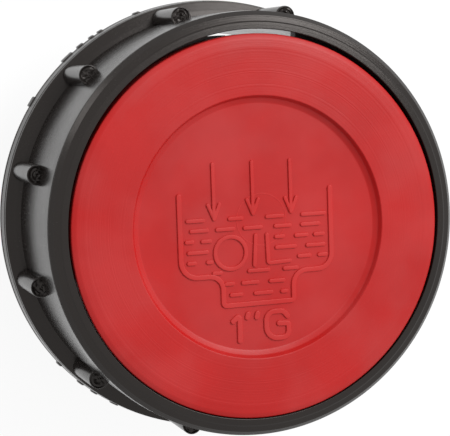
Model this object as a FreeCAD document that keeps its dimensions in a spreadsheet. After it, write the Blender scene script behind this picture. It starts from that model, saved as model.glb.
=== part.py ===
import FreeCAD, Part
import math
import os
import Sketcher

# Vent screw of a small hydraulic tank: a moulded breather cap on a G1 threaded stem.
# The frame stands on the sealing face: +Z runs up the screw's axis to the red disc, +Y points
# to the top of the sign on the disc, and the origin is the centre of the sealing ring's
# lower face. Lengths are in millimetres and angles in degrees.

SIZES = {
    # outer grip ring of the cap
    "flange_gap": 2.5,                 # sealing face up to the flange's rear edge
    "cap_depth": 23.5,                 # flange's rear edge to the rim's outer edge
    "rim_radius": 33.0,
    "rim_rise": 2.2,                   # rim's outer edge up to its flat
    "rim_flat": 1.6,
    "rim_bevel": 1.35,
    "rim_lip": 1.1,
    "grip_step": 0.25,                 # straight wall inside the rim's edge
    "cove_outer_step": 1.5,            # cove between wall and flange: its outer corner
    "cove_outer_rise": 0.35,
    "cove_inner_step": 0.45,           # its inner corner
    "cove_inner_rise": 1.1,
    "cove_height": 2.4,
    "ring_draft": 0.3,
    "flange_width": 2.5,               # straight wall to the flange's front edge
    "flange_draft": 0.25,
    "flange_thickness": 3.85,
    "flange_edge_break": 0.4,
    "groove_lip": 1.6,                 # groove under the flange, from its rear edge
    "groove_width": 2.3,
    "groove_depth": 1.8,
    # grip pegs
    "peg_count": 12,
    "peg_radius": 1.6,
    "peg_inset": 0.3,                  # flange's front edge to the peg's side
    "peg_set_back": 8.0,               # rim's outer edge down to the peg's face
    # nibs on the flange's rear edge
    "nib_groups": 3,
    "nib_height": 0.9,
    "nib_length": 1.1,
    "nib_width": 0.9,
    "nib_wide_width": 1.6,
    # hub inside the ring
    "hub_wall": 2.0,
    "hub_depth": 5.2,                  # disc seat down to the foot of the wide part
    "hub_shoulder": 2.6,
    "hub_floor": 2.0,
    "air_window_count": 6,
    "air_window_width": 8.0,
    "air_window_sill": 4.8,            # floor's top to the window's lower edge
    "air_window_margin": 1.4,          # window's upper edge to the neck's top
    "spoke_count": 6,
    "spoke_thickness": 2.0,
    "spoke_foot": 4.0,                 # flange's rear edge up to the spoke's foot
    "spoke_set_back": 2.2,             # foot of the hub's wide part down to the spoke's top
    "lug_count": 12,
    "lug_thickness": 1.3,
    "lug_height": 2.0,
    "lug_gap": 0.4,                    # lug's top to the disc's skirt
    # red marker disc
    "disc_gap": 0.15,                  # disc's edge to the ring, where it is closest
    "disc_drop": 0.3,                  # the disc lies this far off centre in its seat
    "disc_proud": 0.2,                 # disc's face above the rim's flat
    "disc_plate": 3.0,
    "disc_edge_width": 1.9,
    "disc_edge_drop": 0.4,
    "disc_edge_inner_step": 0.8,       # corner that rounds the border
    "disc_edge_inner_drop": 0.1,
    "disc_skirt_depth": 1.7,           # seat down to the foot of the skirt round the hub
    "disc_skirt_wall": 0.7,
    "disc_skirt_play": 0.1,            # skirt to the hub, where it is closest
    "recess_radius": 20.6,
    "recess_depth": 1.2,
    "recess_slope": 1.2,               # width of the hollow slope round the recess floor
    "recess_wall_step": 0.35,          # steep upper part of that slope
    "recess_wall_drop": 0.75,
    "core_out_inner": 22.0,
    "core_out_width": 2.4,
    "core_out_depth": 1.4,
    "hold_ring_radius": 10.0,
    "hold_ring_wall": 1.2,
    "hold_ring_length": 3.7,
    "hook_count": 4,
    "hook_width": 5.0,
    "hook_thickness": 1.3,
    "hook_clearance": 0.3,
    "hook_reach": 0.9,                 # barb past the hub's inner wall
    "hook_barb_height": 1.4,
    "hook_length": 3.4,
    # stem
    "thread_radius": 16.62,            # G1 thread, outside
    "thread_end": 16.0,                # sealing face down to the stem's lower end
    "thread_lead_in": 1.4,             # chamfer at the lower end
    "relief_depth": 1.22,              # run-out groove of the thread
    "relief_length": 2.8,
    "pilot_step": 0.17,                # thread to the neck that centres the sealing ring
    "spigot_radius": 14.2,             # stem's upper end, through the cap's floor
    "spigot_wall": 2.2,
    "spigot_clearance": 0.2,
    "duct_step": 1.0,                  # seat of the splash guard
    "duct_chamfer": 0.7,
    "insert_seat_height": 1.0,         # collar's top to the seat of the splash guard
    "collar_thickness": 3.0,
    "collar_margin": 1.3,              # collar's edge past the bosses
    "boss_radius": 2.9,
    "boss_clearance": 0.2,
    "boss_margin": 0.1,                # seal's groove to the bosses
    "boss_top_gap": 0.1,
    # rubber rings
    "seal_thickness": 2.0,
    "seal_inner_gap": 0.35,
    "seal_outer_step": 2.0,            # collar's edge to the ring's edge
    "stem_seal_width": 1.7,
    "stem_seal_height": 1.7,
    "stem_seal_side_gap": 0.1,
    "stem_seal_top_gap": 0.05,
    "stem_seal_wall": 0.2,             # spigot's foot to the seal's groove
    # filter
    "core_clearance": 0.15,
    "core_spigot_length": 1.6,
    "core_tube_wall": 1.2,
    "core_tube_step": 0.4,             # stem's upper bore to the outside of the tube
    "core_side_gap": 1.5,              # hub's wall to the core's flanges
    "core_flange_thickness": 1.2,
    "core_window_count": 8,
    "core_window_width": 5.0,
    "core_window_margin": 1.3,
    "foam_set_back": 0.3,
    "foam_clearance": 0.2,
    # pieces in the stem's upper bore
    "insert_side_gap": 0.1,
    "guard_thickness": 0.8,
    "guard_tongue_count": 3,
    "guard_tongue_start": 2.6,
    "guard_tongue_length": 5.5,
    "guard_tongue_run": 4.6,           # tongue's reach after it is bent down
    "guard_tongue_drop": 2.7,
    "guard_tongue_width": 7.0,
    "strainer_thickness": 0.5,
    "strainer_hole_radius": 1.3,
    "strainer_hole_pitch": 4.1,
    "clip_thickness": 0.8,
    "clip_inner_step": 1.1,
    "clip_groove_depth": 0.75,
    "clip_groove_gap": 0.15,
    "clip_opening": 4.0,
    # stem screws and washers
    "screw_count": 3,
    "screw_shank_radius": 1.4,
    "screw_hole_gap": 0.05,
    "screw_length": 4.9,
    "screw_tip_gap": 0.1,
    "screw_head_radius": 3.1,
    "screw_head_top_radius": 2.3,
    "screw_head_height": 2.1,
    "screw_head_gap": 0.7,             # head's top to the filter core's flange
    "screw_slot_width": 0.9,
    "screw_slot_length": 3.6,
    "screw_slot_depth": 1.1,
    "washer_hole_gap": 0.4,
    "washer_outer_radius": 3.6,
    "washer_side_gap": 0.1,
    "washer_thickness": 0.7,
}

FULL_TURN = 360.0
CUT_MARGIN = 1.0                       # how far a cutting shape runs past the solid
SEAM_OVERLAP = 0.3                     # how far a joined shape reaches into its neighbour
NIB_ANGLES = (-11.2, -0.2, 3.6, 7.4)   # narrow nibs of a group, from +X
WIDE_NIB_ANGLE = 26.5
PEG_START_ANGLE = 14.5
AIR_WINDOW_START_ANGLE = 30.0
LUG_START_ANGLE = 12.5
HOOK_START_ANGLE = 0.0
SCREW_START_ANGLE = 90.0
HOLES_IN_FIRST_RING = 6                # each further ring of the strainer has as many more

document = FreeCAD.newDocument("VentScrew")
sheet = document.addObject("Spreadsheet::Sheet", "Sizes")


class Size:
    """A number together with the sheet expression that gives it."""

    def __init__(self, text, value):
        self.text = text
        self.value = value

    def joined(self, sign, other, value):
        """This size and another, joined by a sign, as one size."""
        return Size("(%s %s %s)" % (self.text, sign, other.text), value)

    def __add__(self, other):
        other = as_size(other)
        return self.joined("+", other, self.value + other.value)

    def __sub__(self, other):
        other = as_size(other)
        return self.joined("-", other, self.value - other.value)

    def __mul__(self, other):
        other = as_size(other)
        return self.joined("*", other, self.value * other.value)

    def __truediv__(self, other):
        other = as_size(other)
        return self.joined("/", other, self.value / other.value)

    def __neg__(self):
        return Size("(-1 * %s)" % self.text, -self.value)


def as_size(number):
    """A plain number as a size; a size stays as it is."""
    if isinstance(number, Size):
        return number
    return Size(repr(float(number)), float(number))


def fill_sheet():
    """Writes every driving dimension to the sheet under its own name."""
    for row, (alias, number) in enumerate(SIZES.items(), start=1):
        sheet.set("A%d" % row, alias.replace("_", " "))
        sheet.set("B%d" % row, str(number))
        sheet.setAlias("B%d" % row, alias)
    document.recompute()


def size(alias):
    """The driving dimension of that name."""
    return Size("Sizes.%s" % alias, float(SIZES[alias]))


def bind(item, path, value):
    """Ties one property of an object to a size."""
    item.setExpression(path, as_size(value).text)


def new_body(name):
    """An empty body whose label names its file."""
    body = document.addObject("PartDesign::Body", name)
    body.Label = name
    return body


def base_part(body, role):
    """One of the body's own base planes or axes."""
    return next(item for item in body.Origin.OriginFeatures if item.Role == role)


def new_sketch(body, name, role, lift=0.0, turn=0.0):
    """A sketch on a base plane, lifted along its normal and turned about it."""
    sketch = body.newObject("Sketcher::SketchObject", name)
    sketch.AttachmentSupport = (base_part(body, role), [""])
    sketch.MapMode = "FlatFace"
    sketch.AttachmentOffset = FreeCAD.Placement(
        FreeCAD.Vector(0, 0, as_size(lift).value),
        FreeCAD.Rotation(FreeCAD.Vector(0, 0, 1), turn))
    bind(sketch, "AttachmentOffset.Base.z", lift)
    return sketch


def hold(sketch, kind, index, point, value):
    """Holds one coordinate of a sketch point from the sketch's origin."""
    number = sketch.addConstraint(Sketcher.Constraint(kind, -1, 1, index, point, value.value))
    sketch.setExpression("Constraints[%d]" % number, value.text)


def outline(sketch, corners):
    """A closed outline of straight sides through corners (x, y)."""
    corners = [(as_size(x), as_size(y)) for x, y in corners]
    places = [FreeCAD.Vector(x.value, y.value, 0) for x, y in corners]
    for start, end in zip(places, places[1:] + places[:1]):
        sketch.addGeometry(Part.LineSegment(start, end), False)
    for index, (x, y) in enumerate(corners):
        before = (index - 1) % len(corners)
        sketch.addConstraint(Sketcher.Constraint("Coincident", before, 2, index, 1))
        hold(sketch, "DistanceX", index, 1, x)
        hold(sketch, "DistanceY", index, 1, y)
    return sketch


def circle(sketch, centre_x, radius):
    """A circle with its centre on the sketch's horizontal axis."""
    place = FreeCAD.Vector(as_size(centre_x).value, 0, 0)
    index = sketch.addGeometry(Part.Circle(place, FreeCAD.Vector(0, 0, 1), radius.value), False)
    hold(sketch, "DistanceX", index, 3, as_size(centre_x))
    sketch.addConstraint(Sketcher.Constraint("PointOnObject", index, 3, -1))
    number = sketch.addConstraint(Sketcher.Constraint("Radius", index, radius.value))
    sketch.setExpression("Constraints[%d]" % number, radius.text)
    return sketch


def block(sketch, near, far, width):
    """A rectangle along the sketch's horizontal axis, from near to far."""
    half = width / 2
    return outline(sketch, [(near, -half), (far, -half), (far, half), (near, half)])


def revolve(body, name, corners):
    """A solid of revolution about the screw's axis from an outline of (radius, height)."""
    sketch = outline(new_sketch(body, name + "_profile", "XZ_Plane"), corners)
    feature = body.newObject("PartDesign::Revolution", name)
    feature.Profile = sketch
    feature.ReferenceAxis = (sketch, ["V_Axis"])
    feature.Angle = FULL_TURN
    document.recompute()
    return feature


def raise_up(body, name, sketch, length):
    """A pad along the sketch's normal."""
    feature = body.newObject("PartDesign::Pad", name)
    feature.Profile = sketch
    bind(feature, "Length", length)
    document.recompute()
    return feature


def cut_down(body, name, sketch, length):
    """A pocket against the sketch's normal; it has to take something away."""
    before = body.Tip.Shape.Volume
    feature = body.newObject("PartDesign::Pocket", name)
    feature.Profile = sketch
    bind(feature, "Length", length)
    document.recompute()
    if feature.Shape.Volume >= before:
        raise RuntimeError("%s cuts nothing" % name)
    return feature


def around(body, name, feature, count):
    """Repeats a feature evenly about the screw's axis."""
    pattern = body.newObject("PartDesign::PolarPattern", name)
    pattern.Originals = [feature]
    pattern.Axis = (base_part(body, "Z_Axis"), [""])
    pattern.Angle = FULL_TURN
    bind(pattern, "Occurrences", count)
    body.Tip = pattern
    document.recompute()
    return pattern


def tube(name, inner, outer, foot, height):
    """A plain ring made from two cylinders."""
    outside = document.addObject("Part::Cylinder", name + "_outside")
    bind(outside, "Radius", outer)
    bind(outside, "Height", height)
    bind(outside, "Placement.Base.z", foot)
    inside = document.addObject("Part::Cylinder", name + "_inside")
    bind(inside, "Radius", inner)
    bind(inside, "Height", height + 2 * CUT_MARGIN)
    bind(inside, "Placement.Base.z", foot - CUT_MARGIN)
    ring = document.addObject("Part::Cut", name)
    ring.Base = outside
    ring.Tool = inside
    ring.Label = name
    return ring


def group(name, items):
    """Loose solids of one kind under one label."""
    compound = document.addObject("Part::Compound", name)
    compound.Links = items
    compound.Label = name
    return compound


def place_at_screws(make_one):
    """One item at each stem screw's axis, from a function of the screw's number."""
    count = int(SIZES["screw_count"])
    items = []
    for number in range(count):
        angle = math.radians(SCREW_START_ANGLE + number * FULL_TURN / count)
        item = make_one(number)
        bind(item, "Placement.Base.x", boss_circle_radius * math.cos(angle))
        bind(item, "Placement.Base.y", boss_circle_radius * math.sin(angle))
        items.append(item)
    return items


fill_sheet()

# heights that several pieces share, from the sealing face up
collar_top = size("seal_thickness") + size("collar_thickness")
floor_top = collar_top + size("hub_floor")
boss_top = floor_top - size("boss_top_gap")
head_foot = floor_top + size("washer_thickness")
spigot_top = head_foot + size("screw_head_height") + size("screw_head_gap")
guard_foot = collar_top + size("insert_seat_height")
strainer_foot = guard_foot + size("guard_thickness")
clip_foot = strainer_foot + size("strainer_thickness")
clip_top = clip_foot + size("clip_thickness")
flange_rear = size("flange_gap")
flange_front = flange_rear + size("flange_thickness")
groove_top = flange_rear + size("groove_depth")
rim_edge = flange_rear + size("cap_depth")
rim_top = rim_edge + size("rim_rise")
disc_top = rim_top + size("disc_proud")
disc_seat = disc_top - size("disc_plate")
skirt_foot = disc_seat - size("disc_skirt_depth")
hub_foot = disc_seat - size("hub_depth")
neck_top = hub_foot - size("hub_shoulder")
core_flange_top = spigot_top + size("core_flange_thickness")
core_top = disc_seat - size("hold_ring_length")
core_plate_foot = core_top - size("core_flange_thickness")

# radii that several pieces share, from the rim inwards and from the thread outwards
ring_inner_radius = size("rim_radius") - size("rim_bevel") - size("rim_flat")
grip_radius = size("rim_radius") - size("grip_step")
flange_front_radius = grip_radius + size("flange_width")
flange_rear_radius = flange_front_radius + size("flange_draft")
peg_circle_radius = flange_front_radius - size("peg_inset") - size("peg_radius")
disc_radius = ring_inner_radius - size("disc_gap") - size("disc_drop")
skirt_inner_radius = disc_radius - size("disc_skirt_wall")
hub_radius = skirt_inner_radius - size("disc_drop") - size("disc_skirt_play")
hub_inner_radius = hub_radius - size("hub_wall")
upper_bore_radius = size("spigot_radius") - size("spigot_wall")
duct_radius = upper_bore_radius - size("duct_step")
insert_radius = upper_bore_radius - size("insert_side_gap")
clip_groove_radius = upper_bore_radius + size("clip_groove_depth")
pilot_radius = size("thread_radius") - size("pilot_step")
stem_seal_inner_radius = size("spigot_radius") + size("stem_seal_wall") + size("stem_seal_side_gap")
stem_seal_outer_radius = stem_seal_inner_radius + size("stem_seal_width")
stem_seal_foot = collar_top - size("stem_seal_height") - size("stem_seal_top_gap")
groove_radius = stem_seal_outer_radius + size("stem_seal_side_gap")
boss_circle_radius = groove_radius + size("boss_margin") + size("boss_radius")
collar_radius = boss_circle_radius + size("boss_radius") + size("collar_margin")
neck_inner_radius = boss_circle_radius + size("washer_outer_radius") + size("washer_side_gap")
neck_radius = neck_inner_radius + size("hub_wall")
core_tube_radius = upper_bore_radius + size("core_tube_step")
core_flange_radius = neck_inner_radius - size("core_side_gap")


def add_grip_ring(body):
    """Outer ring with bevelled rim, straight wall, and flange with a groove under it."""
    edge_break = size("flange_edge_break")
    lip_foot = rim_edge - size("rim_lip")
    groove_outer = flange_rear_radius - size("groove_lip")
    groove_inner = groove_outer - size("groove_width")
    revolve(body, "grip_ring", [
        (ring_inner_radius, rim_top),
        (ring_inner_radius + size("ring_draft"), flange_rear),
        (groove_inner, flange_rear),
        (groove_inner, groove_top),
        (groove_outer, groove_top),
        (groove_outer, flange_rear),
        (flange_rear_radius - edge_break, flange_rear),
        (flange_rear_radius, flange_rear + edge_break),
        (flange_front_radius, flange_front),
        (grip_radius + size("cove_outer_step"), flange_front + size("cove_outer_rise")),
        (grip_radius + size("cove_inner_step"), flange_front + size("cove_inner_rise")),
        (grip_radius, flange_front + size("cove_height")),
        (grip_radius, lip_foot - size("grip_step")),
        (size("rim_radius"), lip_foot),
        (size("rim_radius"), rim_edge),
        (ring_inner_radius + size("rim_flat"), rim_top),
    ])


def add_hub(body):
    """Bowl that carries the disc, on six spokes, with lugs that centre it under the rim."""
    spoke_foot = flange_rear + size("spoke_foot")
    spoke_plan = block(new_sketch(body, "spoke_plan", "XY_Plane", spoke_foot),
                       neck_radius - SEAM_OVERLAP, ring_inner_radius + SEAM_OVERLAP,
                       size("spoke_thickness"))
    spoke = raise_up(body, "spoke", spoke_plan, hub_foot - size("spoke_set_back") - spoke_foot)
    around(body, "spokes", spoke, size("spoke_count"))

    floor_bore = size("spigot_radius") + size("spigot_clearance")
    slant = size("hub_wall") / 2
    revolve(body, "hub", [
        (floor_bore, collar_top),
        (neck_radius, collar_top),
        (neck_radius, neck_top),
        (hub_radius, hub_foot),
        (hub_radius, disc_seat),
        (hub_inner_radius, disc_seat),
        (hub_inner_radius, hub_foot + slant),
        (neck_inner_radius, neck_top + slant),
        (neck_inner_radius, floor_top),
        (floor_bore, floor_top),
    ])

    lug_foot = skirt_foot - size("lug_gap") - size("lug_height")
    lug_plan = block(new_sketch(body, "lug_plan", "XY_Plane", lug_foot, LUG_START_ANGLE),
                     hub_radius - SEAM_OVERLAP, ring_inner_radius + SEAM_OVERLAP,
                     size("lug_thickness"))
    lug = raise_up(body, "lug", lug_plan, size("lug_height"))
    around(body, "lugs", lug, size("lug_count"))


def add_pegs(body):
    """Round grip pegs against the wall, on the flange."""
    peg_foot = groove_top + size("flange_edge_break")
    peg_face = rim_edge - size("peg_set_back")
    peg_plan = circle(new_sketch(body, "peg_plan", "XY_Plane", peg_foot, PEG_START_ANGLE),
                      peg_circle_radius, size("peg_radius"))
    peg = raise_up(body, "peg", peg_plan, peg_face - peg_foot)
    around(body, "pegs", peg, size("peg_count"))


def add_nibs(body):
    """Groups of small nibs that stand down from the flange's rear edge."""
    outer = flange_rear_radius
    nib_rise = size("nib_height") + SEAM_OVERLAP
    nibs = [(angle, size("nib_width")) for angle in NIB_ANGLES]
    nibs.append((WIDE_NIB_ANGLE, size("nib_wide_width")))
    for number, (angle, width) in enumerate(nibs, start=1):
        sketch = new_sketch(body, "nib_plan_%d" % number, "XY_Plane",
                            flange_rear - size("nib_height"), angle)
        nib_plan = block(sketch, outer - size("nib_length"), outer, width)
        nib = raise_up(body, "nib_%d" % number, nib_plan, nib_rise)
        around(body, "nibs_%d" % number, nib, size("nib_groups"))


def add_hub_openings(body):
    """Air windows in the neck, catch windows for the disc's hooks and holes for the bosses."""
    window_top = neck_top - size("air_window_margin")
    sketch = new_sketch(body, "air_window_plan", "XY_Plane", window_top, AIR_WINDOW_START_ANGLE)
    window_plan = block(sketch, neck_inner_radius - CUT_MARGIN, neck_radius + CUT_MARGIN,
                        size("air_window_width"))
    window = cut_down(body, "air_window", window_plan,
                      window_top - floor_top - size("air_window_sill"))
    around(body, "air_windows", window, size("air_window_count"))

    gap = size("hook_clearance")
    side_gap = gap + size("disc_drop")
    catch_height = size("hook_barb_height") + gap * 2
    catch_top = disc_seat - size("hook_length") - gap + catch_height
    sketch = new_sketch(body, "catch_plan", "XY_Plane", catch_top, HOOK_START_ANGLE)
    catch_plan = block(sketch, hub_inner_radius - CUT_MARGIN, hub_radius + SEAM_OVERLAP,
                       size("hook_width") + side_gap * 2)
    catch = cut_down(body, "catch", catch_plan, catch_height)
    around(body, "catches", catch, size("hook_count"))

    sketch = new_sketch(body, "boss_hole_plan", "XY_Plane", floor_top, SCREW_START_ANGLE)
    hole_plan = circle(sketch, boss_circle_radius, size("boss_radius") + size("boss_clearance"))
    hole = cut_down(body, "boss_hole", hole_plan, size("hub_floor"))
    around(body, "boss_holes", hole, size("screw_count"))


def make_cap_body():
    """Grip ring, pegs, flange and hub in one moulding."""
    body = new_body("cap_body")
    add_grip_ring(body)
    add_hub(body)
    add_pegs(body)
    add_nibs(body)
    add_hub_openings(body)
    return body


def make_marker_disc():
    """Red cover with a recess, a rounded border, a skirt, a hold-down ring and snap hooks."""
    body = new_body("marker_disc")
    hold_inner = size("hold_ring_radius") - size("hold_ring_wall")
    core_out_outer = size("core_out_inner") + size("core_out_width")
    core_out_top = disc_seat + size("core_out_depth")
    recess_floor = disc_top - size("recess_depth")
    revolve(body, "plate", [
        (0, recess_floor),
        (0, disc_seat),
        (hold_inner, disc_seat),
        (hold_inner, core_top),
        (size("hold_ring_radius"), core_top),
        (size("hold_ring_radius"), disc_seat),
        (size("core_out_inner"), disc_seat),
        (size("core_out_inner"), core_out_top),
        (core_out_outer, core_out_top),
        (core_out_outer, disc_seat),
        (skirt_inner_radius, disc_seat),
        (skirt_inner_radius, skirt_foot),
        (disc_radius, skirt_foot),
        (disc_radius, disc_top - size("disc_edge_drop")),
        (disc_radius - size("disc_edge_inner_step"), disc_top - size("disc_edge_inner_drop")),
        (disc_radius - size("disc_edge_width"), disc_top),
        (size("recess_radius"), disc_top),
        (size("recess_radius") - size("recess_wall_step"), disc_top - size("recess_wall_drop")),
        (size("recess_radius") - size("recess_slope"), recess_floor),
    ])
    hook_foot = disc_seat - size("hook_length")
    hook_outside = hub_inner_radius - size("hook_clearance") - size("disc_drop")
    hook_plan = block(new_sketch(body, "hook_plan", "XY_Plane", hook_foot, HOOK_START_ANGLE),
                      hook_outside - size("hook_thickness"), hook_outside, size("hook_width"))
    hook = raise_up(body, "hook", hook_plan, size("hook_length") + SEAM_OVERLAP)
    around(body, "hooks", hook, size("hook_count"))
    barb_plan = block(new_sketch(body, "barb_plan", "XY_Plane", hook_foot, HOOK_START_ANGLE),
                      hook_outside - SEAM_OVERLAP, hub_inner_radius + size("hook_reach"),
                      size("hook_width"))
    barb = raise_up(body, "barb", barb_plan, size("hook_barb_height"))
    around(body, "barbs", barb, size("hook_count"))
    bind(body, "Placement.Base.y", -size("disc_drop"))
    return body


def make_threaded_stem():
    """Stem with thread blank, collar, seal groove, spigot, screw bosses and stepped duct."""
    body = new_body("threaded_stem")
    thread_radius = size("thread_radius")
    lead_in = size("thread_lead_in")
    foot = -size("thread_end")
    relief_foot = -size("relief_length")
    relief_depth = size("relief_depth")
    groove_inner = stem_seal_inner_radius - size("stem_seal_side_gap")
    groove_outer = groove_radius
    revolve(body, "turned_stem", [
        (duct_radius + size("duct_chamfer"), foot),
        (thread_radius - lead_in, foot),
        (thread_radius, foot + lead_in),
        (thread_radius, relief_foot),
        (thread_radius - relief_depth, relief_foot + relief_depth),
        (thread_radius - relief_depth, -size("pilot_step")),
        (pilot_radius, 0),
        (pilot_radius, size("seal_thickness")),
        (collar_radius, size("seal_thickness")),
        (collar_radius, collar_top),
        (groove_outer, collar_top),
        (groove_outer, stem_seal_foot),
        (groove_inner, stem_seal_foot),
        (groove_inner, collar_top),
        (size("spigot_radius"), collar_top),
        (size("spigot_radius"), spigot_top),
        (upper_bore_radius, spigot_top),
        (upper_bore_radius, clip_top),
        (clip_groove_radius, clip_top),
        (clip_groove_radius, clip_foot),
        (upper_bore_radius, clip_foot),
        (upper_bore_radius, guard_foot),
        (duct_radius, guard_foot),
        (duct_radius, foot + size("duct_chamfer")),
    ])
    boss_foot = collar_top - SEAM_OVERLAP
    boss_plan = circle(new_sketch(body, "boss_plan", "XY_Plane", boss_foot, SCREW_START_ANGLE),
                       boss_circle_radius, size("boss_radius"))
    boss = raise_up(body, "boss", boss_plan, boss_top - boss_foot)
    around(body, "bosses", boss, size("screw_count"))
    hole_foot = head_foot - size("screw_length") - size("screw_tip_gap")
    hole_plan = circle(new_sketch(body, "screw_hole_plan", "XY_Plane", boss_top,
                                  SCREW_START_ANGLE),
                       boss_circle_radius, size("screw_shank_radius") + size("screw_hole_gap"))
    hole = cut_down(body, "screw_hole", hole_plan, boss_top - hole_foot)
    around(body, "screw_holes", hole, size("screw_count"))
    return body


def make_sealing_ring():
    """Flat rubber ring between the collar and the tank."""
    return tube("sealing_ring", pilot_radius + size("seal_inner_gap"),
                collar_radius - size("seal_outer_step"), as_size(0), size("seal_thickness"))


def make_stem_seal():
    """Square-section rubber ring on the floor of the collar's groove."""
    return tube("stem_seal", stem_seal_inner_radius, stem_seal_outer_radius, stem_seal_foot,
                size("stem_seal_height"))


def make_filter_core():
    """Bobbin that stands on the spigot and carries the foam between two flanges."""
    body = new_body("filter_core")
    inside = core_tube_radius - size("core_tube_wall")
    spigot = upper_bore_radius - size("core_clearance")
    spigot_foot = spigot_top - size("core_spigot_length")
    revolve(body, "bobbin", [
        (inside, spigot_foot),
        (spigot, spigot_foot),
        (spigot, spigot_top),
        (core_flange_radius, spigot_top),
        (core_flange_radius, core_flange_top),
        (core_tube_radius, core_flange_top),
        (core_tube_radius, core_plate_foot),
        (core_flange_radius, core_plate_foot),
        (core_flange_radius, core_top),
        (0, core_top),
        (0, core_plate_foot),
        (inside, core_plate_foot),
    ])
    window_top = core_plate_foot - size("core_window_margin")
    window_plan = block(new_sketch(body, "core_window_plan", "XY_Plane", window_top),
                        inside - CUT_MARGIN, core_tube_radius + CUT_MARGIN,
                        size("core_window_width"))
    window = cut_down(body, "core_window", window_plan,
                      window_top - core_flange_top - size("core_window_margin"))
    around(body, "core_windows", window, size("core_window_count"))
    return body


def make_foam_filter():
    """Foam ring between the bobbin's flanges."""
    return tube("foam_filter", core_tube_radius + size("foam_clearance"),
                core_flange_radius - size("foam_set_back"), core_flange_top,
                core_plate_foot - core_flange_top - size("foam_clearance"))


def make_splash_guard():
    """Steel plate on the duct's step, with tongues bent down out of its slots."""
    body = new_body("splash_guard")
    thickness = size("guard_thickness")
    start = size("guard_tongue_start")
    blank_plan = circle(new_sketch(body, "guard_plan", "XY_Plane", guard_foot), 0, insert_radius)
    raise_up(body, "guard_blank", blank_plan, thickness)
    slot_plan = block(new_sketch(body, "slot_plan", "XY_Plane", strainer_foot),
                      start, start + size("guard_tongue_length"), size("guard_tongue_width"))
    slot = cut_down(body, "slot", slot_plan, thickness)
    around(body, "slots", slot, size("guard_tongue_count"))
    tip = start + size("guard_tongue_run")
    tip_foot = guard_foot - size("guard_tongue_drop")
    side = new_sketch(body, "tongue_profile", "XZ_Plane", size("guard_tongue_width") / -2)
    tongue_profile = outline(side, [
        (start - SEAM_OVERLAP, guard_foot),
        (start, guard_foot),
        (tip, tip_foot),
        (tip, tip_foot + thickness),
        (start, strainer_foot),
        (start - SEAM_OVERLAP, strainer_foot),
    ])
    tongue = raise_up(body, "tongue", tongue_profile, size("guard_tongue_width"))
    around(body, "tongues", tongue, size("guard_tongue_count"))
    return body


def make_strainer_disc():
    """Perforated steel disc on the splash guard, its holes in rings about the centre one."""
    body = new_body("strainer_disc")
    thickness = size("strainer_thickness")
    pitch = size("strainer_hole_pitch")
    hole_radius = size("strainer_hole_radius")
    blank_plan = circle(new_sketch(body, "strainer_plan", "XY_Plane", strainer_foot), 0,
                        insert_radius)
    raise_up(body, "strainer_blank", blank_plan, thickness)
    middle_plan = circle(new_sketch(body, "middle_hole_plan", "XY_Plane", clip_foot), 0,
                         hole_radius)
    cut_down(body, "middle_hole", middle_plan, thickness)
    ring_count = int((duct_radius - hole_radius).value / pitch.value)
    for number in range(1, ring_count + 1):
        hole_plan = circle(new_sketch(body, "hole_plan_%d" % number, "XY_Plane", clip_foot),
                           pitch * number, hole_radius)
        hole = cut_down(body, "hole_%d" % number, hole_plan, thickness)
        around(body, "holes_%d" % number, hole, HOLES_IN_FIRST_RING * number)
    return body


def make_guard_clip():
    """Split ring in the groove above the strainer."""
    outer = clip_groove_radius - size("clip_groove_gap")
    ring = tube("clip_ring", upper_bore_radius - size("clip_inner_step"), outer, clip_foot,
                size("clip_thickness"))
    split = document.addObject("Part::Box", "clip_split")
    bind(split, "Length", outer + CUT_MARGIN)
    bind(split, "Width", size("clip_opening"))
    bind(split, "Height", size("clip_thickness") + 2 * CUT_MARGIN)
    bind(split, "Placement.Base.y", size("clip_opening") / -2)
    bind(split, "Placement.Base.z", clip_foot - CUT_MARGIN)
    clip = document.addObject("Part::Cut", "guard_clip")
    clip.Base = ring
    clip.Tool = split
    clip.Label = "guard_clip"
    return clip


def make_washer(number):
    """Flat washer on the hub's floor, about the screw's axis."""
    return tube("washer_%d" % number, size("screw_shank_radius") + size("washer_hole_gap"),
                size("washer_outer_radius"), floor_top, size("washer_thickness"))


def make_screw(number):
    """Slotted pan-head screw that reaches through washer and boss, about its own axis."""
    shank = document.addObject("Part::Cylinder", "shank_%d" % number)
    bind(shank, "Radius", size("screw_shank_radius"))
    bind(shank, "Height", size("screw_length") + SEAM_OVERLAP)
    bind(shank, "Placement.Base.z", head_foot - size("screw_length"))
    head = document.addObject("Part::Cone", "head_%d" % number)
    bind(head, "Radius1", size("screw_head_radius"))
    bind(head, "Radius2", size("screw_head_top_radius"))
    bind(head, "Height", size("screw_head_height"))
    bind(head, "Placement.Base.z", head_foot)
    blank = document.addObject("Part::Fuse", "screw_blank_%d" % number)
    blank.Base = shank
    blank.Tool = head
    slot = document.addObject("Part::Box", "screw_slot_%d" % number)
    bind(slot, "Length", size("screw_slot_length"))
    bind(slot, "Width", size("screw_slot_width"))
    bind(slot, "Height", size("screw_slot_depth") + CUT_MARGIN)
    bind(slot, "Placement.Base.x", size("screw_slot_length") / -2)
    bind(slot, "Placement.Base.y", size("screw_slot_width") / -2)
    bind(slot, "Placement.Base.z",
         head_foot + size("screw_head_height") - size("screw_slot_depth"))
    screw = document.addObject("Part::Cut", "screw_%d" % number)
    screw.Base = blank
    screw.Tool = slot
    return screw


def check(pieces):
    """Stops before anything is written if an object failed or a shape isn't sound."""
    for item in document.Objects:
        if "Invalid" in item.State or "Error" in item.State:
            raise RuntimeError("%s is in state %s" % (item.Name, item.State))
    for piece in pieces:
        if piece.Shape.isNull() or not piece.Shape.isValid():
            raise RuntimeError("%s has no sound shape" % piece.Label)


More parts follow.
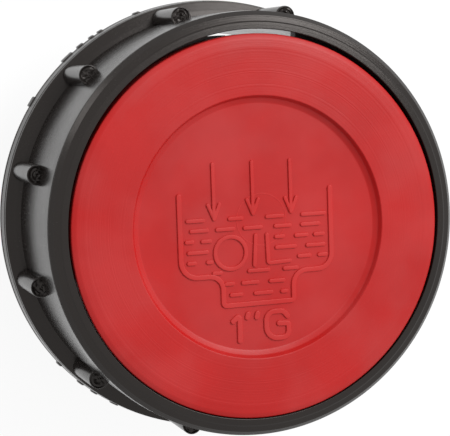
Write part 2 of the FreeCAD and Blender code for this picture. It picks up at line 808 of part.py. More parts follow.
def main():
    """Builds every piece, checks it and writes its file."""
    pieces = [
        make_cap_body(),
        make_marker_disc(),
        make_threaded_stem(),
        make_sealing_ring(),
        make_stem_seal(),
        make_filter_core(),
        make_foam_filter(),
        make_splash_guard(),
        make_strainer_disc(),
        make_guard_clip(),
        group("screw_washers", place_at_screws(make_washer)),
        group("stem_screws", place_at_screws(make_screw)),
    ]
    document.recompute()
    check(pieces)
    os.makedirs("parts", exist_ok=True)
    for piece in pieces:
        piece.Shape.exportStep("parts/%s.step" % piece.Label)
        print(piece.Label, "solids", len(piece.Shape.Solids), "volume", round(piece.Shape.Volume, 1))


main()
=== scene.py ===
"""Looks of a vent screw, a screw-in filler and breather cap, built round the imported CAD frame.

Sizes in the classes are millimetres in the frame's own axes. The origin is the middle of the sealing
ring's lower face, +Z runs up to the red disc, and +Y is the top of the disc's sign. Angles are in
degrees, turned from +X towards +Y, where no other unit is named.
"""
import logging
import math
from collections.abc import Callable, Iterable, Sequence
from dataclasses import dataclass, replace
from enum import Enum, IntEnum
from typing import Any, NamedTuple

import bmesh
import bpy
from mathutils import Matrix, Vector, noise


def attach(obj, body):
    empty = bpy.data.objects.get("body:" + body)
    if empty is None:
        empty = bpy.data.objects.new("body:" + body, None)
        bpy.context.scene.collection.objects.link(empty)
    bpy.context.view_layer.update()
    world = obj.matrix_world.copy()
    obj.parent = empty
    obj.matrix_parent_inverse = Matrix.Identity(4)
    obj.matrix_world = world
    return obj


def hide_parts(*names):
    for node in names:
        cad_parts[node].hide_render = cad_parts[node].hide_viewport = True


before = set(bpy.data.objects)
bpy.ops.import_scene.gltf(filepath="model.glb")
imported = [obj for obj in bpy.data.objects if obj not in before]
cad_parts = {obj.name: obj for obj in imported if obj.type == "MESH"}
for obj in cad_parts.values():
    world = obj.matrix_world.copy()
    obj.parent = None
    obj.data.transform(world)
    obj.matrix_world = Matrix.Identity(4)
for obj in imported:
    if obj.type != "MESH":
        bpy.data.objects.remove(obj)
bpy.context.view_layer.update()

MM = 0.001
FULL_TURN = 2.0 * math.pi
AXIS_GAP = 1e-6  # a point nearer the axis than this lies on it
MERGE_GAP = 1e-4  # points nearer each other than this are one
THIN_GAP = 1e-5  # a face thinner than this goes
ARC_ROOM = 0.49  # how much of a side a rounded corner takes at most
MITRE_LIMIT = 0.5  # least cosine that a rib's bend is widened by
END_STEPS = 8  # straight pieces in the round end of a rib
EDGE_STEPS = 2  # straight pieces across a rounded edge

log = logging.getLogger("vent_screw")

Colour = tuple[float, float, float]
Point = tuple[float, float]
Span = tuple[float, float]
Shape = Callable[[float, float, float], Point]
Socket = bpy.types.NodeSocket


class Slot(Enum):
    """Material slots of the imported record."""

    CAP = "cap_black"
    DISC = "disc_red"
    STEM = "stem_black"
    SEAL = "seal_rubber"
    STEM_SEAL = "stem_seal_rubber"
    FOAM = "filter_foam"


class Join(Enum):
    """What a second solid does to the first one."""

    ADD = "UNION"
    CUT = "DIFFERENCE"


class Steps(IntEnum):
    """Steps in a full turn, more of them where a round edge is large or shows most."""

    RIM = 288
    BODY = 192
    FOAM = 176
    SEAL = 128
    MARK = 96
    BOSS = 48
    PEG = 36
    HOLE = 32


class Corner(NamedTuple):
    """A corner of an outline: how far out, how high, and the radius that rounds it."""

    out: float
    up: float
    rounding: float = 0.0


def corners(*rows: tuple[float, ...]) -> tuple[Corner, ...]:
    """Makes corners of rows that hold how far out, how high and, where it is rounded, the radius."""
    return tuple(Corner(*row) for row in rows)


def rounded(outline: Sequence[Corner], steps: int = 4, closed: bool = True) -> list[Point]:
    """Turns corners into outline points, each rounded one into an arc.

    Args:
        outline: The corners in order.
        steps: Straight pieces in each arc.
        closed: Whether the last corner runs back to the first.

    Returns:
        The points of the outline.
    """
    points: list[Point] = []
    count = len(outline)
    for index, corner in enumerate(outline):
        here = Vector((corner.out, corner.up))
        at_end = not closed and index in (0, count - 1)
        if corner.rounding <= 0 or at_end:
            points.append(tuple(here))
            continue
        before = Vector(outline[index - 1][:2]) - here
        after = Vector(outline[(index + 1) % count][:2]) - here
        half = before.angle(after) / 2
        room = ARC_ROOM * min(before.length, after.length)
        reach = min(corner.rounding / math.tan(half), room)
        radius = reach * math.tan(half)
        inwards = (before.normalized() + after.normalized()).normalized()
        middle = here + inwards * (radius / math.sin(half))
        start = here + before.normalized() * reach - middle
        finish = here + after.normalized() * reach - middle
        sweep = start.angle_signed(finish)
        for step in range(steps + 1):
            spoke = start.copy()
            spoke.rotate(Matrix.Rotation(-sweep * step / steps, 2))
            points.append(tuple(middle + spoke))
    return points


def evenly(count: int, start: float = 0.0) -> list[float]:
    """Gives the angles of a number of features that stand evenly round the axis."""
    return [start + 360.0 * index / count for index in range(count)]


def on_circle(radius: float, degrees: float) -> Point:
    """Gives the point at a distance from the axis and an angle."""
    return radius * math.cos(math.radians(degrees)), radius * math.sin(math.radians(degrees))


def plug(radius: float, foot: float, top: float) -> list[Point]:
    """Gives the outline of a plain round plug."""
    return [(0.0, foot), (radius, foot), (radius, top), (0.0, top)]


def ways_across(path: Sequence[Point], closed: bool) -> list[Vector]:
    """Gives the way across a path at each point, longer at a bend so that a rib keeps its width.

    Args:
        path: The points of the path.
        closed: Whether the path runs back to its start.

    Returns:
        A vector for each point, towards the left of the path.
    """
    across = []
    for index, point in enumerate(path):
        behind = path[index - 1] if closed or index else point
        ahead = path[(index + 1) % len(path)] if closed or index < len(path) - 1 else point
        legs = [Vector(second) - Vector(first) for first, second in ((behind, point), (point, ahead))]
        along = [leg.normalized() for leg in legs if leg.length > 0]
        mean = sum(along, Vector((0.0, 0.0))).normalized()
        widen = 1.0 / max(mean.dot(along[0]), MITRE_LIMIT)
        across.append(Vector((-mean.y, mean.x)) * widen)
    return across


def round_end(tip: Point, across: Vector, away: float) -> list[Vector]:
    """Gives the half circle that leads round the end of a rib, without its two ends.

    Args:
        tip: The end of the rib's path.
        across: The way across the path at which the half circle starts.
        away: Its radius.

    Returns:
        The points of the half circle.
    """
    points = []
    for step in range(1, END_STEPS):
        spoke = across.normalized() * away
        spoke.rotate(Matrix.Rotation(-math.pi * step / END_STEPS, 2))
        points.append(Vector(tip) + spoke)
    return points


class Workpiece:
    """A solid in millimetres that grows by turning, sweeping, extruding, drawing ribs and joining."""

    def __init__(self, name: str) -> None:
        """Starts an empty solid with the name of its piece."""
        self.name = name
        self.mesh = bmesh.new()

    def turn(self, outline: Sequence[Point], steps: int, centre: Point = (0.0, 0.0),
             shape: Shape | None = None) -> "Workpiece":
        """Turns a closed outline fully round an upright axis.

        Args:
            outline: Points as radius and height, in order round the section.
            steps: Steps in the turn.
            centre: Where the axis stands.
            shape: Moves a point, given its radius, height and angle in radians.

        Returns:
            The workpiece itself.
        """
        rings = []
        for radius, height in outline:
            ring = []
            for step in range(steps if radius > AXIS_GAP else 1):
                angle = FULL_TURN * step / steps
                out, up = shape(radius, height, angle) if shape else (radius, height)
                ring.append(self.mesh.verts.new((centre[0] + out * math.cos(angle),
                                                 centre[1] + out * math.sin(angle), up)))
            rings.append(ring)
        for ring, following in zip(rings, rings[1:] + rings[:1]):
            if len(ring) == len(following) == 1:
                continue
            for step in range(steps):
                face = (ring[step % len(ring)], ring[(step + 1) % len(ring)],
                        following[(step + 1) % len(following)], following[step % len(following)])
                self.mesh.faces.new(list(dict.fromkeys(face)))
        return self

    def sweep(self, outline: Callable[[float], Sequence[Point]], start: float, finish: float,
              steps: int) -> None:
        """Sweeps a closed outline part of the way round the object's axis.

        Args:
            outline: Gives the points as radius and height, for how far along the sweep they are.
            start: Angle of its first end.
            finish: Angle of its second end.
            steps: Straight pieces along it.
        """
        slices = []
        for step in range(steps + 1):
            angle = math.radians(start + (finish - start) * step / steps)
            slices.append([self.mesh.verts.new((out * math.cos(angle), out * math.sin(angle), up))
                           for out, up in outline(step / steps)])
        self.mesh.faces.new(slices[0])
        self.mesh.faces.new(slices[-1][::-1])
        for here, following in zip(slices, slices[1:]):
            for index in range(len(here)):
                self.mesh.faces.new((here[index - 1], here[index], following[index],
                                     following[index - 1]))

    def extrude(self, outline: Sequence[Point], width: float, turn: float = 0.0,
                edge: float = 0.0) -> None:
        """Extrudes an upright outline sideways, and turns it to its place.

        Args:
            outline: Points as distance out from the axis and height.
            width: Width across.
            turn: Angle to which it points.
            edge: Radius that rounds its edges.
        """
        place = Matrix.Rotation(math.radians(turn), 3, "Z")
        sides = [[self.mesh.verts.new(place @ Vector((out, across, up))) for out, up in outline]
                 for across in (-width / 2, width / 2)]
        faces = [self.mesh.faces.new(sides[0]), self.mesh.faces.new(sides[1][::-1])]
        for index in range(len(outline)):
            following = (index + 1) % len(outline)
            faces.append(self.mesh.faces.new((sides[0][following], sides[0][index],
                                              sides[1][index], sides[1][following])))
        if edge > 0:
            edges = list(dict.fromkeys(item for face in faces for item in face.edges))
            bmesh.ops.bevel(self.mesh, geom=edges, offset=edge, segments=EDGE_STEPS, profile=0.5,
                            affect="EDGES", clamp_overlap=True)

    def rib(self, path: Sequence[Point], section: Sequence[Point], closed: bool = False) -> None:
        """Draws a raised rib along a path, with round ends where the path is open.

        Args:
            path: Middle line of the rib.
            section: Half of its section from the middle of the foot round to the middle of the top,
                as distance from the middle line and height.
            closed: Whether the path runs back to its start.
        """
        across = ways_across(path, closed)
        loops = []
        for away, height in section:
            left = [Vector(point) + way * away for point, way in zip(path, across)]
            right = [Vector(point) - way * away for point, way in zip(path, across)]
            if closed:
                sides = [left, right]
            else:
                sides = [left + round_end(path[-1], across[-1], away) + right[::-1]
                         + round_end(path[0], -across[0], away)]
            loops.append([[(*point, height) for point in side] for side in sides])
        for side in range(len(loops[0])):
            rows = [[self.mesh.verts.new(point) for point in loop[side]] for loop in loops]
            for row, following in zip(rows, rows[1:]):
                for index in range(len(row)):
                    after = (index + 1) % len(row)
                    self.mesh.faces.new((row[index], row[after], following[after], following[index]))
        self.clean()

    def clean(self) -> None:
        """Merges points that coincide and drops faces that this leaves without area."""
        bmesh.ops.remove_doubles(self.mesh, verts=self.mesh.verts, dist=MERGE_GAP)
        bmesh.ops.dissolve_degenerate(self.mesh, dist=THIN_GAP, edges=self.mesh.edges)
        bmesh.ops.recalc_face_normals(self.mesh, faces=self.mesh.faces)

    def as_object(self, name: str) -> bpy.types.Object:
        """Makes a Blender object of the solid as it stands.

        Args:
            name: Name of the object and its mesh.

        Returns:
            The object.
        """
        self.clean()
        data = bpy.data.meshes.new(name)
        self.mesh.to_mesh(data)
        item = bpy.data.objects.new(name, data)
        bpy.context.scene.collection.objects.link(item)
        return item

    def absorb(self, other: "Workpiece") -> None:
        """Takes up the surface of another solid as it is, and uses that solid up.

        Args:
            other: The second solid.
        """
        spare = bpy.data.meshes.new("spare")
        other.mesh.to_mesh(spare)
        self.mesh.from_mesh(spare)
        other.mesh.free()
        bpy.data.meshes.remove(spare)

    def combine(self, other: "Workpiece", how: Join) -> None:
        """Adds another solid to this one or cuts it out of it.

        Args:
            other: The second solid, which is used up.
            how: Whether it is added or cut.
        """
        base, tool = self.as_object("base"), other.as_object("tool")
        step = base.modifiers.new(how.name, "BOOLEAN")
        step.operation = how.value
        step.solver = "MANIFOLD"
        step.object = tool
        bpy.context.view_layer.update()
        result = base.evaluated_get(bpy.context.evaluated_depsgraph_get())
        self.mesh.free()
        self.mesh = bmesh.new()
        self.mesh.from_mesh(result.data)
        for used in (base, tool):
            data = used.data
            bpy.data.objects.remove(used)
            bpy.data.meshes.remove(data)

    def finish(self, slot: Slot, look: bpy.types.Material, replaces: Iterable[str] = (),
               crease: float = 32.0) -> bpy.types.Object:
        """Hands the solid over as a finished piece that rides on the part.

        Args:
            slot: Slot of the record that it is finished from; not used.
            look: Its material.
            replaces: CAD nodes that it stands for.
            crease: Angle from which an edge is drawn sharp.

        Returns:
            The piece.
        """
        piece = self.as_object(self.name)
        self.mesh.free()
        piece.data.transform(Matrix.Scale(MM, 4))
        piece.data.materials.append(look)
        piece.data.shade_smooth()
        piece.data.set_sharp_from_angle(angle=math.radians(crease))
        even = piece.modifiers.new("even_shading", "WEIGHTED_NORMAL")
        even.keep_sharp = True
        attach(piece, "root")
        for node in replaces:
            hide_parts(node)
        log.info("%s: %d faces", piece.name, len(piece.data.polygons))
        return piece


def as_rgba(value: Any) -> Any:
    """Adds full opacity to a plain colour, and leaves a linked output as it is."""
    return (*value, 1.0) if isinstance(value, tuple) else value


def grey(level: float) -> Colour:
    """Gives the grey of a level from 0 to 1."""
    return level, level, level


def toned(colour: Colour, factor: float) -> Colour:
    """Gives a colour made lighter or darker by a factor."""
    return tuple(min(part * factor, 1.0) for part in colour)


class NodeGraph:
    """Short way to lay out the nodes of one material or of the world."""

    NOISE_WIDE: Span = (0.3, 0.7)
    NOISE_MIDDLE: Span = (0.35, 0.65)

    def __init__(self, owner: bpy.types.Material | bpy.types.World) -> None:
        """Empties the node tree of a material or of the world.

        Args:
            owner: The material or the world.
        """
        self.owner = owner
        self.owner.use_nodes = True
        self.tree = owner.node_tree
        self.tree.nodes.clear()

    def add(self, kind: str, sockets: dict[str | int, Any] | None = None,
            **settings: Any) -> bpy.types.Node:
        """Adds a node, sets its options, and fills its sockets.

        Args:
            kind: Blender's name of the node type, without ShaderNode.
            sockets: Value or linked output for each input, by name or number.
            **settings: Options of the node.

        Returns:
            The node.
        """
        node = self.tree.nodes.new("ShaderNode" + kind)
        for option, value in settings.items():
            setattr(node, option, value)
        for key, value in (sockets or {}).items():
            socket = node.inputs[key]
            if isinstance(value, Socket):
                self.tree.links.new(value, socket)
            else:
                socket.default_value = value
        return node

    def place(self) -> Socket:
        """Gives the place on the object, in metres."""
        return self.add("TexCoord").outputs["Object"]

    def noise(self, size: float, detail: float = 2.0, roughness: float = 0.5,
              place: Socket | None = None) -> Socket:
        """Gives soft noise in patches of a size.

        Args:
            size: About how wide a patch is.
            detail: How many finer layers it has.
            roughness: How strong the finer layers are.
            place: The place that it is read at, or none for the place on the object.

        Returns:
            The noise, from 0 to 1.
        """
        sockets = {"Vector": place or self.place(), "Scale": 1.0 / (size * MM), "Detail": detail,
                   "Roughness": roughness}
        return self.add("TexNoise", sockets).outputs[0]

    def maths(self, operation: str, first: Any, second: Any = 0.0) -> Socket:
        """Gives the result of one sum."""
        return self.add("Math", {0: first, 1: second}, operation=operation).outputs[0]

    def vectors(self, operation: str, first: Any, second: Any = (0.0, 0.0, 0.0)) -> bpy.types.Node:
        """Adds one sum of vectors."""
        return self.add("VectorMath", {0: first, 1: second}, operation=operation)

    def spread(self, value: Any, low: float, high: float, new_low: float = 0.0,
               new_high: float = 1.0) -> Socket:
        """Stretches a value from one range to another and holds it there.

        Args:
            value: The value.
            low: Value that becomes new_low.
            high: Value that becomes new_high.
            new_low: First end of the new range.
            new_high: Second end of the new range.

        Returns:
            The stretched value.
        """
        sockets = {"Value": value, "From Min": low, "From Max": high, "To Min": new_low,
                   "To Max": new_high}
        return self.add("MapRange", sockets).outputs[0]

    def blend(self, amount: Any, first: Any, second: Any) -> Socket:
        """Mixes two colours."""
        sockets = {0: amount, 6: as_rgba(first), 7: as_rgba(second)}
        return self.add("Mix", sockets, data_type="RGBA").outputs[2]

    def facing_up(self, low: float, high: float) -> Socket:
        """Gives 1 on faces that look straight up and 0 on those that look aside."""
        normal = self.add("NewGeometry").outputs["Normal"]
        return self.spread(self.add("SeparateXYZ", {0: normal}).outputs[2], low, high)

    def distance_out(self, centre: Point) -> Socket:
        """Gives the distance from an upright axis.

        Args:
            centre: Where the axis stands.

        Returns:
            The distance in metres.
        """
        moved = self.vectors("ADD", self.place(), (-centre[0] * MM, -centre[1] * MM, 0.0)).outputs[0]
        flat = self.vectors("MULTIPLY", moved, (1.0, 1.0, 0.0)).outputs[0]
        return self.vectors("LENGTH", flat).outputs["Value"]

    def bump(self, height: Any, depth: float, below: Any = None) -> Socket:
        """Raises the surface in the shading.

        Args:
            height: How high it is, from 0 to 1.
            depth: How high 1 is.
            below: A bump that this one lies on.

        Returns:
            The normal.
        """
        sockets = {"Height": height, "Distance": depth * MM, "Strength": 1.0}
        if below is not None:
            sockets["Normal"] = below
        return self.add("Bump", sockets).outputs[0]

    def close(self, shader: bpy.types.Node,
              output: str = "OutputMaterial") -> bpy.types.Material | bpy.types.World:
        """Ends the tree with its output and gives the material or the world."""
        self.add(output, {"Surface": shader.outputs[0]})
        return self.owner


@dataclass(frozen=True)
class MouldedPlastic:
    """Moulded plastic with a fine grain, and faint rings where its mould was turned.

    Args:
        name: Name of the material.
        colour: Its plain colour.
        roughness: How soft its gloss is.
        drift: How far tone and gloss wander over the piece.
        grain: Depth of the grain.
        rings: Depth of the turning lines on faces that look up.
        ring_pitch: Distance between turning lines.
        ring_start: Distance from the axis at which they start.
        ring_tilt: How far up a face looks that still bears them, from 0 to 1.
        ring_fade: How much further up a face looks that bears them in full.
        centre: Axis of the turning lines.
        shine: Strength of its reflections, 0.5 for plain plastic.
        tint: Colour of its reflections.
        waves: Depth of the soft waves in its faces.
        painted_sheen: How much pale painted sheen, standing in for a soft reflection, veils it in
            patches, from 0 to 1.
        film_and_sheen: Colour of that painted sheen.
        sheen_edge: Where in the noise the painted sheen begins and is whole.
        cloud_size: Width of the patches of its tone.
        speckle_size: Width of the flecks of its grain.
        pore_size: Width of the finest grain.
        wave_size: Width of the soft waves.
        sheen_size: Width of the patches of painted sheen.
        flecks: Where in the noise a fleck begins and is whole.
        fleck_share: How much a fleck differs from its surroundings, from 0 to 1.
        fleck_tone: How much lighter a fleck is.
        fleck_gloss: How far the gloss wanders from fleck to fleck.
        bend: How it bends light, as for clear plastic.
    """

    name: str
    colour: Colour
    roughness: float = 0.42
    drift: float = 0.08
    grain: float = 0.006
    rings: float = 0.0
    ring_pitch: float = 0.35
    ring_start: float = 0.0
    ring_tilt: float = 0.97
    ring_fade: float = 0.025
    centre: Point = (0.0, 0.0)
    shine: float = 0.5
    tint: Colour = (1.0, 1.0, 1.0)
    waves: float = 0.0
    painted_sheen: float = 0.0
    film_and_sheen: Colour = (0.8, 0.78, 0.78)
    sheen_edge: Span = (0.42, 0.62)
    cloud_size: float = 11.0
    speckle_size: float = 0.45
    pore_size: float = 0.12
    wave_size: float = 6.0
    sheen_size: float = 13.0
    flecks: Span = (0.62, 0.78)
    fleck_share: float = 0.35
    fleck_tone: float = 1.35
    fleck_gloss: float = 0.03
    bend: float = 1.49

    def tone(self, graph: NodeGraph, cloud: Socket, speckle: Socket) -> Socket:
        """Builds the colour, with its drift, its flecks and its patches of painted sheen.

        Args:
            graph: The material's nodes.
            cloud: Noise in wide patches.
            speckle: Noise in fine ones.

        Returns:
            The colour.
        """
        darker, lighter = toned(self.colour, 1.0 - self.drift), toned(self.colour, 1.0 + self.drift)
        tone = graph.blend(graph.spread(cloud, *graph.NOISE_MIDDLE), darker, lighter)
        fleck = graph.spread(speckle, *self.flecks, 0.0, self.fleck_share)
        tone = graph.blend(fleck, tone, toned(self.colour, self.fleck_tone))
        # Painted sheen: pale patches mixed into the colour stand in for a soft reflection.
        if self.painted_sheen:
            patches = graph.noise(self.sheen_size, detail=3.0)
            tone = graph.blend(graph.spread(patches, *self.sheen_edge, 0.0, self.painted_sheen), tone, self.film_and_sheen)
        return tone

    def gloss(self, graph: NodeGraph, cloud: Socket, speckle: Socket) -> Socket:
        """Builds the softness of the gloss.

        Args:
            graph: The material's nodes.
            cloud: Noise in wide patches.
            speckle: Noise in fine ones.

        Returns:
            The roughness.
        """
        wide = graph.spread(cloud, *graph.NOISE_WIDE, self.roughness - self.drift / 2,
                            self.roughness + self.drift / 2)
        fine = graph.spread(speckle, *graph.NOISE_WIDE, -self.fleck_gloss, self.fleck_gloss)
        return graph.maths("ADD", wide, fine)

    def surface(self, graph: NodeGraph, speckle: Socket) -> Socket:
        """Builds the grain, the waves and the turning lines.

        Args:
            graph: The material's nodes.
            speckle: Noise in fine patches.

        Returns:
            The normal.
        """
        normal = graph.bump(speckle, self.grain)
        normal = graph.bump(graph.noise(self.pore_size, detail=1.0), self.grain / 2, normal)
        if self.waves:
            normal = graph.bump(graph.noise(self.wave_size, detail=1.0), self.waves, normal)
        if self.rings:
            away = graph.distance_out(self.centre)
            track = graph.maths("MULTIPLY", away, 1.0 / (self.ring_pitch * MM))
            lines = graph.add("TexNoise", {"W": track, "Scale": 1.0, "Detail": 2.0, "Roughness": 0.7},
                              noise_dimensions="1D").outputs[0]
            start = self.ring_start * MM
            upward = graph.facing_up(self.ring_tilt, self.ring_tilt + self.ring_fade)
            shown = graph.maths("MULTIPLY", upward, graph.spread(away, start, start + MM))
            normal = graph.bump(graph.maths("MULTIPLY", lines, shown), self.rings, normal)
        return normal

    def material(self) -> bpy.types.Material:
        """Builds the material.

        Returns:
            The material.
        """
        graph = NodeGraph(bpy.data.materials.new(self.name))
        cloud = graph.noise(self.cloud_size, detail=3.0)
        speckle = graph.noise(self.speckle_size, detail=3.0, roughness=0.65)
        sockets = {"Base Color": self.tone(graph, cloud, speckle),
                   "Roughness": self.gloss(graph, cloud, speckle),
                   "Normal": self.surface(graph, speckle), "IOR": self.bend,
                   "Specular IOR Level": self.shine, "Specular Tint": as_rgba(self.tint)}
        return graph.close(graph.add("BsdfPrincipled", sockets))


@dataclass(frozen=True)
class Rubber:
    """Matt rubber with a fine skin and a little bloom.

    Args:
        name: Name of the material.
        colour: Its plain colour.
        bloom: Colour of the film that rubber sweats out.
        bloom_edge: Where in the noise the film begins and is whole.
        bloom_size: Width of the patches of that film.
        bloom_share: How much the film covers at most, from 0 to 1.
        skin_size: Width of the marks of its skin.
        skin_depth: Depth of those marks.
        gloss: Least and most softness of its gloss.
    """

    name: str
    colour: Colour
    bloom: Colour = (0.07, 0.07, 0.068)
    bloom_edge: Span = (0.45, 0.75)
    bloom_size: float = 5.0
    bloom_share: float = 0.6
    skin_size: float = 0.3
    skin_depth: float = 0.012
    gloss: Span = (0.6, 0.78)

    def material(self) -> bpy.types.Material:
        """Builds the material.

        Returns:
            The material.
        """
        graph = NodeGraph(bpy.data.materials.new(self.name))
        patches = graph.noise(self.bloom_size, detail=5.0, roughness=0.6)
        film_and_sheen = graph.spread(patches, *self.bloom_edge, 0.0, self.bloom_share)
        skin = graph.noise(self.skin_size, detail=4.0, roughness=0.7)
        sockets = {"Base Color": graph.blend(film_and_sheen, self.colour, self.bloom),
                   "Roughness": graph.spread(skin, *graph.NOISE_WIDE, *self.gloss),
                   "Normal": graph.bump(skin, self.skin_depth)}
        return graph.close(graph.add("BsdfPrincipled", sockets))


@dataclass(frozen=True)
class SheetSteel:
    """Bright steel with the fine lines of rolling and handling.

    Args:
        name: Name of the material.
        colour: Colour of its reflection.
        roughness: How soft its gloss is.
        stretch: How far the lines are drawn out along X, Y and Z.
        stain: Colour of its duller patches.
        stain_edge: Where in the noise a patch begins and is whole.
        stain_size: Width of those patches.
        stain_share: How much they cover at most, from 0 to 1.
        line_size: Width of the lines.
        line_depth: Depth of the lines.
        line_gloss: How much brighter and duller than the roughness the lines are.
    """

    name: str
    colour: Colour
    roughness: float = 0.32
    stretch: tuple[float, float, float] = (0.06, 1.0, 1.0)
    stain: Colour = (0.36, 0.35, 0.33)
    stain_edge: Span = (0.5, 0.8)
    stain_size: float = 3.5
    stain_share: float = 0.5
    line_size: float = 0.12
    line_depth: float = 0.004
    line_gloss: Span = (0.08, 0.1)

    def material(self) -> bpy.types.Material:
        """Builds the material.

        Returns:
            The material.
        """
        graph = NodeGraph(bpy.data.materials.new(self.name))
        drawn = graph.vectors("MULTIPLY", graph.place(), self.stretch).outputs[0]
        lines = graph.noise(self.line_size, detail=4.0, roughness=0.7, place=drawn)
        patches = graph.noise(self.stain_size, detail=4.0)
        stained = graph.spread(patches, *self.stain_edge, 0.0, self.stain_share)
        brighter, duller = self.line_gloss
        gloss = graph.spread(lines, *graph.NOISE_WIDE, self.roughness - brighter,
                             self.roughness + duller)
        sockets = {"Base Color": graph.blend(stained, self.colour, self.stain), "Metallic": 1.0,
                   "Roughness": gloss, "Normal": graph.bump(lines, self.line_depth)}
        return graph.close(graph.add("BsdfPrincipled", sockets))


@dataclass(frozen=True)
class OpenFoam:
    """Open-celled filter foam: thin struts, with shade painted dark into the pores between them.

    Args:
        name: Name of the material.
        strut: Colour of the struts.
        painted_pore_shade: Dark colour painted into the pores as their shade.
        cell: Width of a cell.
        uneven: How uneven the cells are, from 0 to 1.
        wall: Where a strut ends and a pore begins, as a share of a cell.
        depth: How deep a cell looks.
        patch_size: Width of the patches in which the tone wanders.
        patch_share: How much of the darker tone they hold at most, from 0 to 1.
        patch_tone: How dark that tone is.
        roughness: How soft its gloss is.
    """

    name: str
    strut: Colour
    painted_pore_shade: Colour = (0.02, 0.02, 0.022)
    cell: float = 0.9
    uneven: float = 0.9
    wall: Span = (0.04, 0.2)
    depth: float = 0.25
    patch_size: float = 4.0
    patch_share: float = 0.3
    patch_tone: float = 0.7
    roughness: float = 0.9

    def material(self) -> bpy.types.Material:
        """Builds the material.

        Returns:
            The material.
        """
        graph = NodeGraph(bpy.data.materials.new(self.name))
        cells = graph.add("TexVoronoi", {"Vector": graph.place(), "Scale": 1.0 / (self.cell * MM),
                                         "Randomness": self.uneven},
                          feature="DISTANCE_TO_EDGE").outputs[0]
        struts = graph.spread(cells, *self.wall, 1.0, 0.0)
        # Painted shade: the pores between the struts take a dark colour that stands in for the shade
        # inside them.
        tone = graph.blend(struts, self.painted_pore_shade, self.strut)
        patches = graph.spread(graph.noise(self.patch_size), *graph.NOISE_MIDDLE, 0.0, self.patch_share)
        sockets = {"Base Color": graph.blend(patches, tone, toned(self.strut, self.patch_tone)),
                   "Roughness": self.roughness, "Normal": graph.bump(struts, self.depth)}
        return graph.close(graph.add("BsdfPrincipled", sockets))


def dress(node: str, look: bpy.types.Material) -> None:
    """Gives a CAD node that stays as it is its material, in every slot of it.

    Args:
        node: Name of the node.
        look: The material.
    """
    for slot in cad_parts[node].material_slots:
        slot.material = look
    log.info("%s: kept, dressed with %s", node, look.name)


@dataclass(frozen=True)
class TornEnd:
    """The end face of a peg, torn inside its edge as the mould left it.

    Args:
        number: Number of the peg, which gives each one marks of its own.
        bearing: Angle of the peg in radians, away from the wall.
        edge: Radius inside which the face is torn.
        top: Height of the edge.
        scar: How deep the marks are.
        reach: How far below the edge a point still belongs to the face.
        lean: How far the marks lean away from the wall, as a share of their radius.
        coil: How tightly the wide marks run round.
        sway: How far they stray from a circle.
        grain: How much finer than the wide marks the small ones are.
        share: How deep the small marks are beside the wide ones.
        apart: Distance in the noise between two pegs, for the small marks and the wide ones.
    """

    number: int
    bearing: float
    edge: float
    top: float
    scar: float
    reach: float = 0.5
    lean: float = 0.1
    coil: float = 4.0
    sway: Span = (0.6, 0.5)
    grain: float = 3.0
    share: float = 0.5
    apart: Span = (5.0, 3.0)

    def tear(self, radius: float, height: float, turn: float) -> Point:
        """Tears the face inside its edge, and leaves the rest of the peg as it is.

        Args:
            radius: Distance of a point from the peg's axis.
            height: Height of the point.
            turn: Angle of the point round the peg, in radians.

        Returns:
            The new distance and height.
        """
        if radius >= self.edge or height < self.top - self.reach:
            return radius, height
        spot = Vector((radius * math.cos(turn), radius * math.sin(turn), self.number * self.apart[0]))
        swirl = Vector((radius * self.coil + self.sway[0] * math.sin(turn + self.number),
                        self.sway[1] * math.cos(turn), self.number * self.apart[1]))
        torn = noise.noise(swirl) + self.share * noise.noise(spot * self.grain)
        return (radius * (1.0 + self.lean * math.cos(turn - self.bearing)),
                min(height + self.scar * torn, self.top))


